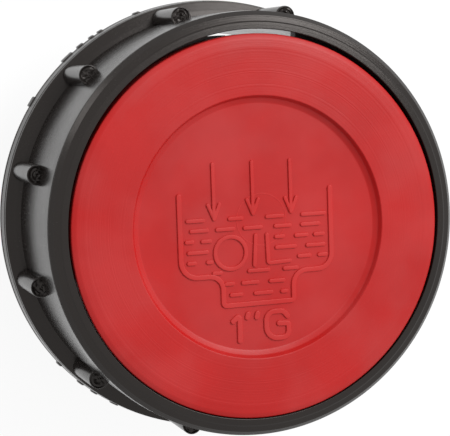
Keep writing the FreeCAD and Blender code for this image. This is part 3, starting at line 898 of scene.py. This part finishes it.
@dataclass
class GripCap:
    """Black cap: grip ring with pegs, flange and nibs, and the hub that carries the disc."""

    ring_section: tuple[Corner, ...] = corners(
        (29.97, 28.2, 0.12), (30.1, 2.5, 0.2), (31.6, 2.5, 0.25), (31.6, 4.3, 0.3), (33.9, 4.3, 0.3),
        (33.9, 2.5, 0.2), (35.1, 2.5, 0.25), (35.5, 2.9, 0.2), (35.47, 3.3, 0.05), (35.34, 3.4, 0.04),
        (35.33, 3.7, 0.04), (35.44, 3.8, 0.05), (35.32, 5.55, 0.05), (35.2, 5.62, 0.04),
        (35.19, 5.8, 0.04), (35.28, 5.88, 0.06), (35.22, 6.35, 0.16), (33.6, 6.85, 0.3), (32.9, 7.0),
        (32.88, 24.0), (32.76, 26.5, 0.08), (32.64, 26.58, 0.04), (32.64, 26.72, 0.04),
        (32.75, 26.82, 0.08), (32.74, 26.92, 0.08), (32.08, 27.65, 0.15), (31.2, 27.95, 0.2),
        (30.96, 28.1, 0.15))
    hub_section: tuple[Corner, ...] = corners(
        (14.4, 5.0, 0.2), (25.0, 5.0, 0.8), (25.0, 17.6, 0.8), (28.5, 20.2, 0.8), (28.5, 25.4, 0.2),
        (26.5, 25.4, 0.2), (26.5, 21.2, 0.4), (23.0, 18.6, 0.6), (23.0, 7.0, 0.5), (14.4, 7.0, 0.2))
    peg_count: int = 12
    peg_start: float = 14.5
    peg_circle: float = 33.35
    peg_radius: float = 1.6
    peg_foot: float = 4.7
    peg_top: float = 18.0
    peg_edge: float = 0.13
    peg_edge_steps: int = 3
    peg_rings: tuple[float, ...] = (1.3, 1.22, 1.06, 0.9, 0.74, 0.58, 0.42, 0.26, 0.12, 0.0)
    peg_dent: float = 0.1
    peg_scar: float = 0.2
    nibs: tuple[Point, ...] = (
        (108.8, 1.1), (119.8, 0.9), (122.6, 0.9), (126.4, 1.2), (131.0, 2.2), (146.0, 1.8),
        (220.9, 0.9), (228.8, 1.1), (233.4, 1.1), (239.8, 1.3),
        (348.8, 1.1), (359.8, 0.9), (3.6, 0.9), (7.4, 1.1), (26.5, 1.7))
    nib_section: tuple[Point, ...] = ((34.4, 3.6), (34.4, 1.9), (35.66, 1.9), (35.72, 2.6), (35.6, 3.6))
    nib_edge: float = 0.15
    spoke_count: int = 6
    spoke_section: tuple[Point, ...] = ((24.7, 6.5), (30.7, 6.5), (30.7, 18.0), (24.7, 18.0))
    spoke_thickness: float = 2.0
    spoke_edge: float = 0.25
    ledge_count: int = 3
    ledge_start: float = 84.0
    ledge_reach: float = 109.7
    ledge_inner: float = 28.1
    ledge_outer: float = 30.7
    ledge_foot: float = 21.3
    ledge_top: float = 23.3
    ledge_least: float = 0.5
    ledge_growth: float = 0.3
    ledge_steps: int = 80
    air_window_count: int = 6
    air_window_start: float = 30.0
    air_window: tuple[Point, ...] = ((21.0, 11.8), (26.5, 11.8), (26.5, 16.2), (21.0, 16.2))
    air_window_width: float = 8.0
    air_window_edge: float = 0.6
    catch_count: int = 4
    catch_window: tuple[Point, ...] = ((25.6, 21.7), (29.3, 21.7), (29.3, 23.7), (25.6, 23.7))
    catch_width: float = 6.2
    catch_edge: float = 0.3
    boss_hole_count: int = 3
    boss_hole_start: float = 90.0
    boss_hole_circle: float = 19.3
    boss_hole_radius: float = 3.1
    boss_hole_foot: float = 4.0
    boss_hole_top: float = 8.0
    look: MouldedPlastic = MouldedPlastic(
        "black_moulded_cap", (0.014, 0.0115, 0.0105), roughness=0.24, grain=0.003, rings=0.012,
        ring_pitch=0.22, ring_start=29.5, ring_tilt=0.45, shine=0.31, tint=(1.0, 0.93, 0.89),
        waves=0.015)

    def build(self) -> None:
        """Builds the cap and hands it over in place of the CAD node."""
        cap = Workpiece("grip_cap")
        cap.turn(rounded(self.ring_section), Steps.RIM)
        cap.turn(rounded(self.hub_section), Steps.BODY)
        cap.combine(self.added(), Join.ADD)
        cap.combine(self.openings(), Join.CUT)
        cap.finish(Slot.CAP, self.look.material(), ["cap_body"])

    def added(self) -> Workpiece:
        """Builds what stands on ring and hub: pegs, nibs, spokes and the ledge in the gap.

        Returns:
            The solids that are joined to ring and hub.
        """
        extras = Workpiece("cap_extras")
        for number, angle in enumerate(evenly(self.peg_count, self.peg_start)):
            self.add_peg(extras, number, angle)
        for angle, width in self.nibs:
            extras.extrude(self.nib_section, width, angle, self.nib_edge)
        for angle in evenly(self.spoke_count):
            extras.extrude(self.spoke_section, self.spoke_thickness, angle, self.spoke_edge)
        for angle in evenly(self.ledge_count, self.ledge_start):
            extras.sweep(self.ledge_outline, angle, angle + self.ledge_reach, self.ledge_steps)
        return extras

    def ledge_outline(self, along: float) -> list[Point]:
        """Gives the section of the ledge, which grows out from the hub at its first end.

        Args:
            along: How far along the ledge the section is, from 0 to 1.

        Returns:
            The points of the section, as radius and height.
        """
        room = self.ledge_outer - self.ledge_inner - self.ledge_least
        outer = self.ledge_inner + self.ledge_least + room * min(along / self.ledge_growth, 1.0)
        return [(self.ledge_inner, self.ledge_foot), (outer, self.ledge_foot), (outer, self.ledge_top),
                (self.ledge_inner, self.ledge_top)]

    def add_peg(self, extras: Workpiece, number: int, angle: float) -> None:
        """Adds one round peg, its end face dented and torn.

        Args:
            extras: Solid that takes the peg.
            number: Number of the peg.
            angle: Where it stands.
        """
        face = [(ring, self.peg_top - self.peg_dent * (ring < self.peg_rings[0]))
                for ring in self.peg_rings]
        side = [(0.0, self.peg_foot), (self.peg_radius, self.peg_foot),
                (self.peg_radius, self.peg_top, self.peg_edge)]
        outline = rounded(corners(*side, *face), self.peg_edge_steps)
        end = TornEnd(number, math.radians(angle), self.peg_rings[0], self.peg_top, self.peg_scar)
        extras.turn(outline, Steps.PEG, on_circle(self.peg_circle, angle), end.tear)

    def openings(self) -> Workpiece:
        """Builds the solids that are cut out: air windows, catch windows and boss holes.

        Returns:
            Those solids.
        """
        cuts = Workpiece("cap_cuts")
        for angle in evenly(self.air_window_count, self.air_window_start):
            cuts.extrude(self.air_window, self.air_window_width, angle, self.air_window_edge)
        for angle in evenly(self.catch_count):
            cuts.extrude(self.catch_window, self.catch_width, angle, self.catch_edge)
        hole = plug(self.boss_hole_radius, self.boss_hole_foot, self.boss_hole_top)
        for angle in evenly(self.boss_hole_count, self.boss_hole_start):
            cuts.turn(hole, Steps.BOSS, on_circle(self.boss_hole_circle, angle))
        return cuts


# The disc's red carries painted sheen: pale patches in its colour stand in for a soft reflection.
RED_MOULDING = MouldedPlastic(
    "red_moulded_disc", (0.474, 0.0100, 0.0091), roughness=0.42, drift=0.05, grain=0.008, rings=0.02,
    ring_pitch=0.3, ring_start=20.2, centre=(0.0, -0.3), shine=0.3, waves=0.045, painted_sheen=0.016)
# The sign's red is a lighter copy of the disc's red: painted light that makes the raised strokes look
# lit.
RED_SIGN_PAINTED_LIT = replace(RED_MOULDING, name="red_sign_painted_lit", colour=(0.524, 0.0165, 0.0146), rings=0.0,
                   waves=0.0)


@dataclass
class MarkerDisc:
    """Red disc with its recess, rounded border, hold-down ring and snap hooks."""

    section: tuple[Corner, ...] = corners(
        (0.0, 27.2), (0.0, 25.4), (8.8, 25.4, 0.3), (8.8, 21.7, 0.2), (10.0, 21.7, 0.2),
        (10.0, 25.4, 0.3), (22.0, 25.4, 0.2), (22.0, 26.8, 0.3), (24.4, 26.8, 0.3), (24.4, 25.4, 0.2),
        (28.9, 25.4, 0.1), (28.9, 23.7, 0.1), (29.6, 23.7, 0.15), (29.6, 28.0, 0.35),
        (28.8, 28.3, 1.2), (27.6, 28.4, 0.8), (20.22, 28.4, 0.2), (19.85, 27.6, 0.35),
        (19.1, 27.2, 0.5))
    hook_section: tuple[Point, ...] = ((24.6, 25.7), (24.6, 22.0), (26.6, 22.0), (27.4, 22.8),
                                       (27.4, 23.35), (25.9, 23.4), (25.9, 25.7))
    hook_width: float = 5.0
    hook_edge: float = 0.15
    hook_count: int = 4
    drop: float = 0.3
    look: MouldedPlastic = RED_MOULDING

    def build(self) -> None:
        """Builds the disc and hands it over in place of the CAD node."""
        disc = Workpiece("red_disc")
        disc.turn(rounded(self.section), Steps.RIM)
        hooks = Workpiece("disc_hooks")
        for angle in evenly(self.hook_count):
            hooks.extrude(self.hook_section, self.hook_width, angle, self.hook_edge)
        disc.combine(hooks, Join.ADD)
        bmesh.ops.translate(disc.mesh, vec=(0.0, -self.drop, 0.0), verts=disc.mesh.verts)
        disc.finish(Slot.DISC, self.look.material(), ["marker_disc"])


@dataclass(frozen=True)
class Stroke:
    """A raised line of the sign.

    Args:
        path: Its corners, in order.
        width: Width at its foot.
        closed: Whether it runs back to its start.
    """

    path: tuple[Corner, ...]
    width: float = 0.68
    closed: bool = False


@dataclass
class OilTankSign:
    """Raised sign of a filling tank: arrows down into it, its oil, and the thread's size below it."""

    floor: float = 27.2
    sunk: float = 0.12
    rise: float = 0.25
    top_curve: tuple[Point, ...] = ((0.97, 0.3), (0.9, 0.8), (0.8, 0.97), (0.65, 1.0), (0.0, 1.0))
    tank: Stroke = Stroke(corners(
        (-12.6, 5.1), (-12.6, -7.45, 2.6), (-6.0, -7.45, 2.1), (-6.0, -12.1, 0.5), (5.5, -12.0, 0.5),
        (5.5, -7.4, 2.2), (11.95, -7.4, 2.4), (11.95, 5.15)), width=0.84)
    arrow_tips: tuple[Point, ...] = ((-7.1, 1.35), (-0.8, 1.83), (5.42, 1.79))
    arrow_top: float = 9.75
    arrow_width: float = 0.6
    wing_reach: Point = (0.92, 2.2)
    wing_root: Point = (0.03, 0.02)
    wing_lower: float = 0.01
    letters: tuple[Stroke, ...] = (
        Stroke(corners((-7.1, -1.5, 2.42), (-2.14, -1.5, 2.42), (-2.14, -6.46, 2.42),
                       (-7.1, -6.46, 2.42)), closed=True),
        Stroke(corners((-0.5, -1.55), (-0.8, -6.1))),
        Stroke(corners((1.35, -1.55), (1.45, -5.94, 0.32), (5.0, -5.8))),
        Stroke(corners((-4.6, -14.6), (-3.5, -13.7, 0.32), (-3.55, -17.7)), width=0.9),
        Stroke(corners((-2.1, -13.66), (-2.26, -14.15)), width=0.9),
        Stroke(corners((-0.56, -13.66), (-0.72, -14.2)), width=0.9),
        Stroke(corners((4.3, -14.4), (3.6, -13.55, 0.9), (0.82, -13.55, 1.9), (0.82, -17.72, 1.95),
                       (4.5, -17.72, 1.6), (4.45, -15.55, 0.32), (2.9, -15.45)), width=0.88))
    oil_rows: tuple[tuple[float, tuple[Point, ...]], ...] = (
        (1.25, ((-11.55, -8.65), (-4.8, -2.5), (1.25, 4.15), (7.1, 11.1))),
        (-0.3, ((-11.0, -8.1), (-6.85, -3.9), (-2.4, 0.6), (2.6, 5.35), (7.0, 10.1))),
        (-1.95, ((-11.8, -10.5), (-9.25, -7.65), (2.65, 4.2), (5.95, 8.1), (9.1, 10.8))),
        (-3.6, ((-11.5, -8.2), (2.7, 6.1), (7.8, 10.9))),
        (-5.2, ((-11.55, -10.2), (-8.5, -7.5), (6.35, 8.5), (9.7, 11.2))),
        (-6.95, ((-7.6, -6.1), (-1.9, 1.6), (3.9, 6.3))),
        (-8.75, ((-5.7, -4.2), (-2.95, -0.2), (1.55, 4.05))),
        (-10.48, ((-4.9, -2.9), (-1.0, 2.0), (3.4, 4.5))))
    dash_end: float = 0.2
    arc_steps: int = 10
    mark_centre: Point = (0.55, 0.85)
    mark_radius: float = 4.0
    mark_width: float = 0.16
    mark_rise: float = 0.03
    crease: float = 50.0

    def half_section(self, width: float, rise: float) -> list[Point]:
        """Gives half the rounded section of a rib.

        Args:
            width: Width at its foot.
            rise: Height above the recess floor.

        Returns:
            Points as distance from the middle line and height, from the foot to the top.
        """
        foot, half = self.floor - self.sunk, width / 2
        curve = [(across * half, self.floor + up * rise) for across, up in self.top_curve]
        return [(0.0, foot), (half, foot), *curve]

    def draw(self, sign: Workpiece, stroke: Stroke, rise: float) -> None:
        """Draws one stroke of the sign.

        Args:
            sign: Solid that takes it.
            stroke: The stroke.
            rise: Height above the recess floor.
        """
        path = rounded(stroke.path, self.arc_steps, stroke.closed)
        sign.rib(path, self.half_section(stroke.width, rise), stroke.closed)

    def draw_arrow(self, sign: Workpiece, tip: Point) -> None:
        """Draws one arrow that points down into the tank.

        Args:
            sign: Solid that takes it.
            tip: Where it points.
        """
        x, y = tip
        arrow = Workpiece("arrow")
        shaft = corners((x, self.arrow_top), (x, y))
        self.draw(arrow, Stroke(shaft, self.arrow_width), self.rise)
        for side in (-1, 1):
            wing = Workpiece("wing")
            ends = [(x + side * across, y + up) for across, up in (self.wing_reach, self.wing_root)]
            self.draw(wing, Stroke(corners(*ends), self.arrow_width), self.rise - self.wing_lower)
            arrow.combine(wing, Join.ADD)
        sign.absorb(arrow)

    def build(self) -> None:
        """Builds the sign on the recess floor of the disc."""
        sign = Workpiece("disc_sign")
        self.draw(sign, self.tank, self.rise)
        for stroke in self.letters:
            self.draw(sign, stroke, self.rise)
        for height, dashes in self.oil_rows:
            for start, finish in dashes:
                dash = corners((start + self.dash_end, height), (finish - self.dash_end, height))
                self.draw(sign, Stroke(dash), self.rise)
        x, y = self.mark_centre
        circle = [(x + across, y + up) for across, up in
                  (on_circle(self.mark_radius, angle) for angle in evenly(Steps.MARK))]
        sign.rib(circle, self.half_section(self.mark_width, self.mark_rise), closed=True)
        for tip in self.arrow_tips:
            self.draw_arrow(sign, tip)
        # The strokes take the disc's red painted lighter, so that they look lit.
        sign.finish(Slot.DISC, RED_SIGN_PAINTED_LIT.material(), crease=self.crease)


@dataclass
class ThreadedStem:
    """Stem with a real pipe thread, run-out groove, collar, seal groove, spigot and screw bosses."""

    thread_radius: float = 16.62
    thread_pitch: float = 2.309
    thread_depth: float = 1.479
    thread_core: float = 15.0
    triangle_height: float = 2.218
    crest_rounding: float = 0.25
    thread_foot: float = -16.0
    relief_foot: float = -2.8
    relief_top: float = -1.58
    relief_radius: float = 15.4
    lead_in: float = 1.4
    rows_in_pitch: int = 18
    upper_section: tuple[Corner, ...] = corners(
        (15.4, -0.17, 0.3), (16.45, 0.0, 0.1), (16.45, 2.0, 0.1), (23.5, 2.0, 0.3), (23.5, 5.0, 0.3),
        (16.3, 5.0, 0.1), (16.3, 3.25, 0.15), (14.4, 3.25, 0.15), (14.4, 5.0, 0.05), (14.2, 5.0, 0.05),
        (14.2, 10.5, 0.3), (12.0, 10.5, 0.25), (12.0, 8.1), (12.75, 8.1), (12.75, 7.3), (12.0, 7.3),
        (12.0, 6.0), (11.0, 6.0, 0.1), (11.0, -15.3, 0.3), (11.7, -16.0, 0.15))
    boss_count: int = 3
    boss_start: float = 90.0
    boss_circle: float = 19.3
    boss_radius: float = 2.9
    boss_foot: float = 4.6
    boss_top: float = 6.9
    boss_edge: float = 0.2
    screw_hole_radius: float = 1.45
    screw_hole_foot: float = 2.7
    screw_hole_over: float = 1.0
    look: MouldedPlastic = MouldedPlastic("black_stem", (0.022, 0.022, 0.023), roughness=0.38)

    def thread_cut(self, height: float, turn: float) -> float:
        """Gives how deep the thread is cut at a height and an angle.

        Args:
            height: Height on the stem.
            turn: Angle in radians.

        Returns:
            Depth below the thread's crest.
        """
        phase = (height / self.thread_pitch - turn / FULL_TURN) % 1.0
        flank = (abs(2.0 * phase - 1.0) - 0.5) * self.triangle_height / (self.thread_depth / 2)
        size = abs(flank)
        if size > 1.0 + self.crest_rounding:
            soft = 1.0
        elif size > 1.0 - self.crest_rounding:
            soft = 1.0 - (1.0 + self.crest_rounding - size) ** 2 / (4.0 * self.crest_rounding)
        else:
            soft = size
        return self.thread_depth * (1.0 + math.copysign(soft, flank)) / 2

    def shape_thread(self, radius: float, height: float, turn: float) -> Point:
        """Cuts the thread into a point of the blank, fading out in the run-out groove.

        Args:
            radius: Distance of the point from the axis.
            height: Height of the point.
            turn: Angle of the point in radians.

        Returns:
            The new distance and height.
        """
        if radius < self.thread_core or height > self.relief_top:
            return radius, height
        fade = min(1.0, max(0.0, (self.relief_top - height) / (self.relief_top - self.relief_foot)))
        cut = self.thread_radius - fade * self.thread_cut(height, turn)
        return min(radius, cut), height

    def blank(self) -> list[Point]:
        """Gives the outline of the thread's blank in rows close enough for the thread.

        Returns:
            Points as radius and height, from the foot up.
        """
        length = self.relief_top - self.thread_foot
        count = int(length / (self.thread_pitch / self.rows_in_pitch))
        points = []
        for index in range(count + 1):
            height = self.thread_foot + length * index / count
            lead = self.thread_radius - self.lead_in + height - self.thread_foot
            run_out = self.relief_radius + self.relief_top - height
            points.append((min(self.thread_radius, lead, run_out), height))
        return points

    def build(self) -> None:
        """Builds the stem and hands it over in place of the CAD node."""
        stem = Workpiece("threaded_shank")
        stem.turn(self.blank() + rounded(self.upper_section), Steps.BODY, shape=self.shape_thread)
        bosses, holes = Workpiece("bosses"), Workpiece("boss_holes")
        radius, foot, top = self.boss_radius, self.boss_foot, self.boss_top
        boss = rounded(corners((0.0, foot), (radius, foot), (radius, top, self.boss_edge), (0.0, top)))
        hole = plug(self.screw_hole_radius, self.screw_hole_foot, top + self.screw_hole_over)
        for angle in evenly(self.boss_count, self.boss_start):
            centre = on_circle(self.boss_circle, angle)
            bosses.turn(boss, Steps.BOSS, centre)
            holes.turn(hole, Steps.HOLE, centre)
        stem.combine(bosses, Join.ADD)
        stem.combine(holes, Join.CUT)
        stem.finish(Slot.STEM, self.look.material(), ["threaded_stem"])


@dataclass
class Seals:
    """The flat sealing ring under the collar and the square ring in the collar's groove."""

    flat_ring: tuple[Corner, ...] = corners(
        (16.8, 0.0, 0.25), (21.5, 0.0, 0.3), (21.55, 0.95, 0.05), (21.7, 1.0, 0.02),
        (21.55, 1.05, 0.05), (21.5, 2.0, 0.3), (16.8, 2.0, 0.25))
    square_ring: tuple[Corner, ...] = corners(
        (14.5, 3.25, 0.25), (16.2, 3.25, 0.25), (16.2, 4.95, 0.25), (14.5, 4.95, 0.25))
    flat_look: Rubber = Rubber("flat_seal_rubber", grey(0.02))
    square_look: Rubber = Rubber("square_seal_rubber", grey(0.015))

    def build(self) -> None:
        """Builds both rings and hands them over in place of their CAD nodes."""
        flat = Workpiece("flat_seal").turn(rounded(self.flat_ring), Steps.BODY)
        flat.finish(Slot.SEAL, self.flat_look.material(), ["sealing_ring"])
        square = Workpiece("square_seal").turn(rounded(self.square_ring), Steps.SEAL)
        square.finish(Slot.STEM_SEAL, self.square_look.material(), ["stem_seal"])


@dataclass
class BreatherFilter:
    """Foam ring on its bobbin."""

    foam_inner: float = 12.65
    foam_outer: float = 21.15
    foam_foot: float = 11.75
    foam_top: float = 20.25
    cell_step: float = 0.7
    cell_depth: float = 0.28
    cell_scale: float = 1.1
    crease: float = 60.0
    foam_look: OpenFoam = OpenFoam("open_cell_foam", (0.16, 0.16, 0.17))
    core_look: MouldedPlastic = MouldedPlastic("white_bobbin", (0.72, 0.71, 0.67), roughness=0.5,
                                               drift=0.03)

    def pit(self, radius: float, height: float, turn: float) -> Point:
        """Sinks a point of the foam's skin into one of its open cells.

        Args:
            radius: Distance of the point from the axis.
            height: Height of the point.
            turn: Angle of the point in radians.

        Returns:
            The new distance and height.
        """
        spot = Vector((radius * math.cos(turn), radius * math.sin(turn), height))
        sunk = self.cell_depth * (0.5 + 0.5 * noise.noise(spot * self.cell_scale))
        middle_radius = (self.foam_inner + self.foam_outer) / 2
        middle_height = (self.foam_foot + self.foam_top) / 2
        towards = Vector((middle_radius - radius, middle_height - height)).normalized() * sunk
        return radius + towards.x, height + towards.y

    def side(self, start: Point, finish: Point) -> list[Point]:
        """Gives points from one corner of the foam's section up to the next, a cell apart.

        Args:
            start: The first corner.
            finish: The next one, which is left out.

        Returns:
            The points.
        """
        count = round(math.dist(start, finish) / self.cell_step)
        return [(start[0] + (finish[0] - start[0]) * step / count,
                 start[1] + (finish[1] - start[1]) * step / count) for step in range(count)]

    def build(self) -> None:
        """Builds the foam in place of its CAD node and dresses the bobbin."""
        square = [(self.foam_inner, self.foam_foot), (self.foam_outer, self.foam_foot),
                  (self.foam_outer, self.foam_top), (self.foam_inner, self.foam_top)]
        outline = [point for start, finish in zip(square, square[1:] + square[:1])
                   for point in self.side(start, finish)]
        foam = Workpiece("foam_ring").turn(outline, Steps.FOAM, shape=self.pit)
        piece = foam.finish(Slot.FOAM, self.foam_look.material(), ["foam_filter"], self.crease)
        dress("filter_core", self.core_look.material())


@dataclass
class DuctFittings:
    """Splash guard, strainer and clip in the stem's bore, and the stem's screws and washers."""

    looks: tuple[tuple[str, SheetSteel], ...] = (
        ("splash_guard", SheetSteel("guard_sheet", (0.55, 0.56, 0.57), 0.34)),
        ("strainer_disc", SheetSteel("strainer_sheet", (0.5, 0.51, 0.52), 0.3, (1.0, 0.06, 1.0))),
        ("guard_clip", SheetSteel("clip_wire", (0.45, 0.46, 0.48), 0.28, (1.0, 1.0, 0.1))),
        ("screw_washers", SheetSteel("washer_zinc", (0.6, 0.6, 0.62), 0.36, (0.5, 0.5, 1.0))),
        ("stem_screws", SheetSteel("screw_zinc", (0.58, 0.58, 0.6), 0.33, (1.0, 1.0, 0.2))))

    def build(self) -> None:
        """Dresses the CAD nodes, whose shapes stay as they are."""
        for node, look in self.looks:
            dress(node, look.material())


@dataclass(frozen=True)
class Lamp:
    """A round lamp that shines at the middle of the frame.

    Args:
        name: The lamp's name.
        place: Where its middle is.
        size: Its diameter.
        power: Its power in watts.
    """

    name: str
    place: tuple[float, float, float]
    size: float
    power: float

    def build(self) -> None:
        """Builds the lamp."""
        data = bpy.data.lights.new(self.name, "AREA")
        data.shape = "DISK"
        data.size = self.size * MM
        data.energy = self.power
        lamp = bpy.data.objects.new(self.name, data)
        lamp.location = Vector(self.place) * MM
        lamp.rotation_euler = lamp.location.to_track_quat("Z", "Y").to_euler()
        bpy.context.scene.collection.objects.link(lamp)
        log.info("%s lamp: %.1f W", self.name, self.power)


@dataclass
class Studio:
    """White table, soft light and the camera at the photograph's angle."""

    table_height: float = -16.0
    table_reach: float = 3000.0
    table_glow: float = 0.9
    shadow_tone: float = 0.13
    table_tone: float = 0.8
    bright_bearing: float = 25.0
    bright_level: float = 0.85
    dark_level: float = 0.35
    sky_fade: float = 0.45
    lamps: tuple[Lamp, ...] = (Lamp("key", (330.0, 330.0, 620.0), size=420.0, power=3.6),
                               Lamp("side", (-365.0, 320.0, 90.0), size=200.0, power=0.3))
    aim: tuple[float, float, float] = (-4.91, 1.31, 26.0)
    distance: float = 245.4
    elevation: float = 71.06
    azimuth: float = 163.2
    roll: float = -104.0
    lens: float = 128.0
    sensor: float = 36.0
    nearest: float = 10.0

    def build(self) -> None:
        """Builds table, sky, lamps and camera."""
        self.build_table()
        self.build_sky()
        for lamp in self.lamps:
            lamp.build()
        self.build_camera()

    @staticmethod
    def seen_directly(graph: NodeGraph) -> Socket:
        """Tells rays that show the surroundings from those that only carry their light.

        Args:
            graph: Nodes of the material or the world.

        Returns:
            1 for rays from the camera, off gloss and through glass, and 0 for the others.
        """
        rays = graph.add("LightPath").outputs
        both = graph.maths("MAXIMUM", rays["Is Camera Ray"], rays["Is Glossy Ray"])
        return graph.maths("MAXIMUM", both, rays["Is Transmission Ray"])

    def build_table(self) -> None:
        """Builds the white table that keeps the object's shadow."""
        graph = NodeGraph(bpy.data.materials.new("white_table"))
        glow = graph.add("Emission", {"Color": as_rgba(grey(1.0)), "Strength": self.table_glow})
        shadowed = graph.add("BsdfDiffuse", {"Color": as_rgba(grey(self.shadow_tone))})
        shown = graph.add("AddShader", {0: glow.outputs[0], 1: shadowed.outputs[0]})
        plain = graph.add("BsdfDiffuse", {"Color": as_rgba(grey(self.table_tone))})
        mixed = graph.add("MixShader", {0: self.seen_directly(graph), 1: plain.outputs[0],
                                        2: shown.outputs[0]})
        mesh = bmesh.new()
        bmesh.ops.create_grid(mesh, x_segments=1, y_segments=1, size=self.table_reach * MM)
        data = bpy.data.meshes.new("table")
        mesh.to_mesh(data)
        mesh.free()
        data.materials.append(graph.close(mixed))
        table = bpy.data.objects.new("table", data)
        table.location.z = self.table_height * MM
        bpy.context.scene.collection.objects.link(table)
        log.info("table: at %.1f mm", self.table_height)

    def build_sky(self) -> None:
        """Builds the surroundings, white where they show, whose light is stronger from one side."""
        world = bpy.data.worlds.new("surroundings")
        bpy.context.scene.world = world
        graph = NodeGraph(world)
        way = graph.add("TexCoord").outputs["Generated"]
        towards = (*on_circle(1.0, self.bright_bearing), 0.0)
        side = graph.vectors("DOT_PRODUCT", way, towards).outputs["Value"]
        light = graph.spread(side, -self.sky_fade, self.sky_fade, self.dark_level, self.bright_level)
        level = graph.add("Mix", {0: self.seen_directly(graph), 2: light, 3: 1.0},
                          data_type="FLOAT").outputs[0]
        graph.close(graph.add("Background", {"Color": as_rgba(grey(1.0)), "Strength": level}),
                    "OutputWorld")
        log.info("sky: light from %.2f to %.2f", self.dark_level, self.bright_level)

    def build_camera(self) -> None:
        """Builds the camera and makes it the scene's own."""
        tilt, lean = math.radians(self.elevation), math.radians(self.roll)
        back = Vector((*on_circle(math.cos(tilt), self.azimuth), math.sin(tilt)))
        level = Vector((0.0, 0.0, 1.0)).cross(back).normalized()
        up = back.cross(level) * math.cos(lean) + level * math.sin(lean)
        right = up.cross(back)
        place = (Vector(self.aim) + back * self.distance) * MM
        data = bpy.data.cameras.new("camera")
        data.lens = self.lens
        data.sensor_width = self.sensor
        data.sensor_fit = "HORIZONTAL"
        data.clip_start = self.nearest * MM
        camera = bpy.data.objects.new("camera", data)
        turned = Matrix((right, up, back)).transposed().to_4x4()
        camera.matrix_world = Matrix.Translation(place) @ turned
        bpy.context.scene.collection.objects.link(camera)
        bpy.context.scene.camera = camera
        log.info("camera: %.0f mm lens at %.0f mm", self.lens, self.distance)


def main() -> None:
    """Builds the vent screw piece by piece, and the studio round it."""
    logging.basicConfig(level=logging.INFO, format="%(name)s: %(message)s")
    bpy.context.scene.view_settings.view_transform = "Standard"
    for assembly in (GripCap(), MarkerDisc(), OilTankSign(), ThreadedStem(), Seals(), BreatherFilter(),
                     DuctFittings(), Studio()):
        assembly.build()


if __name__ == "__main__":
    main()
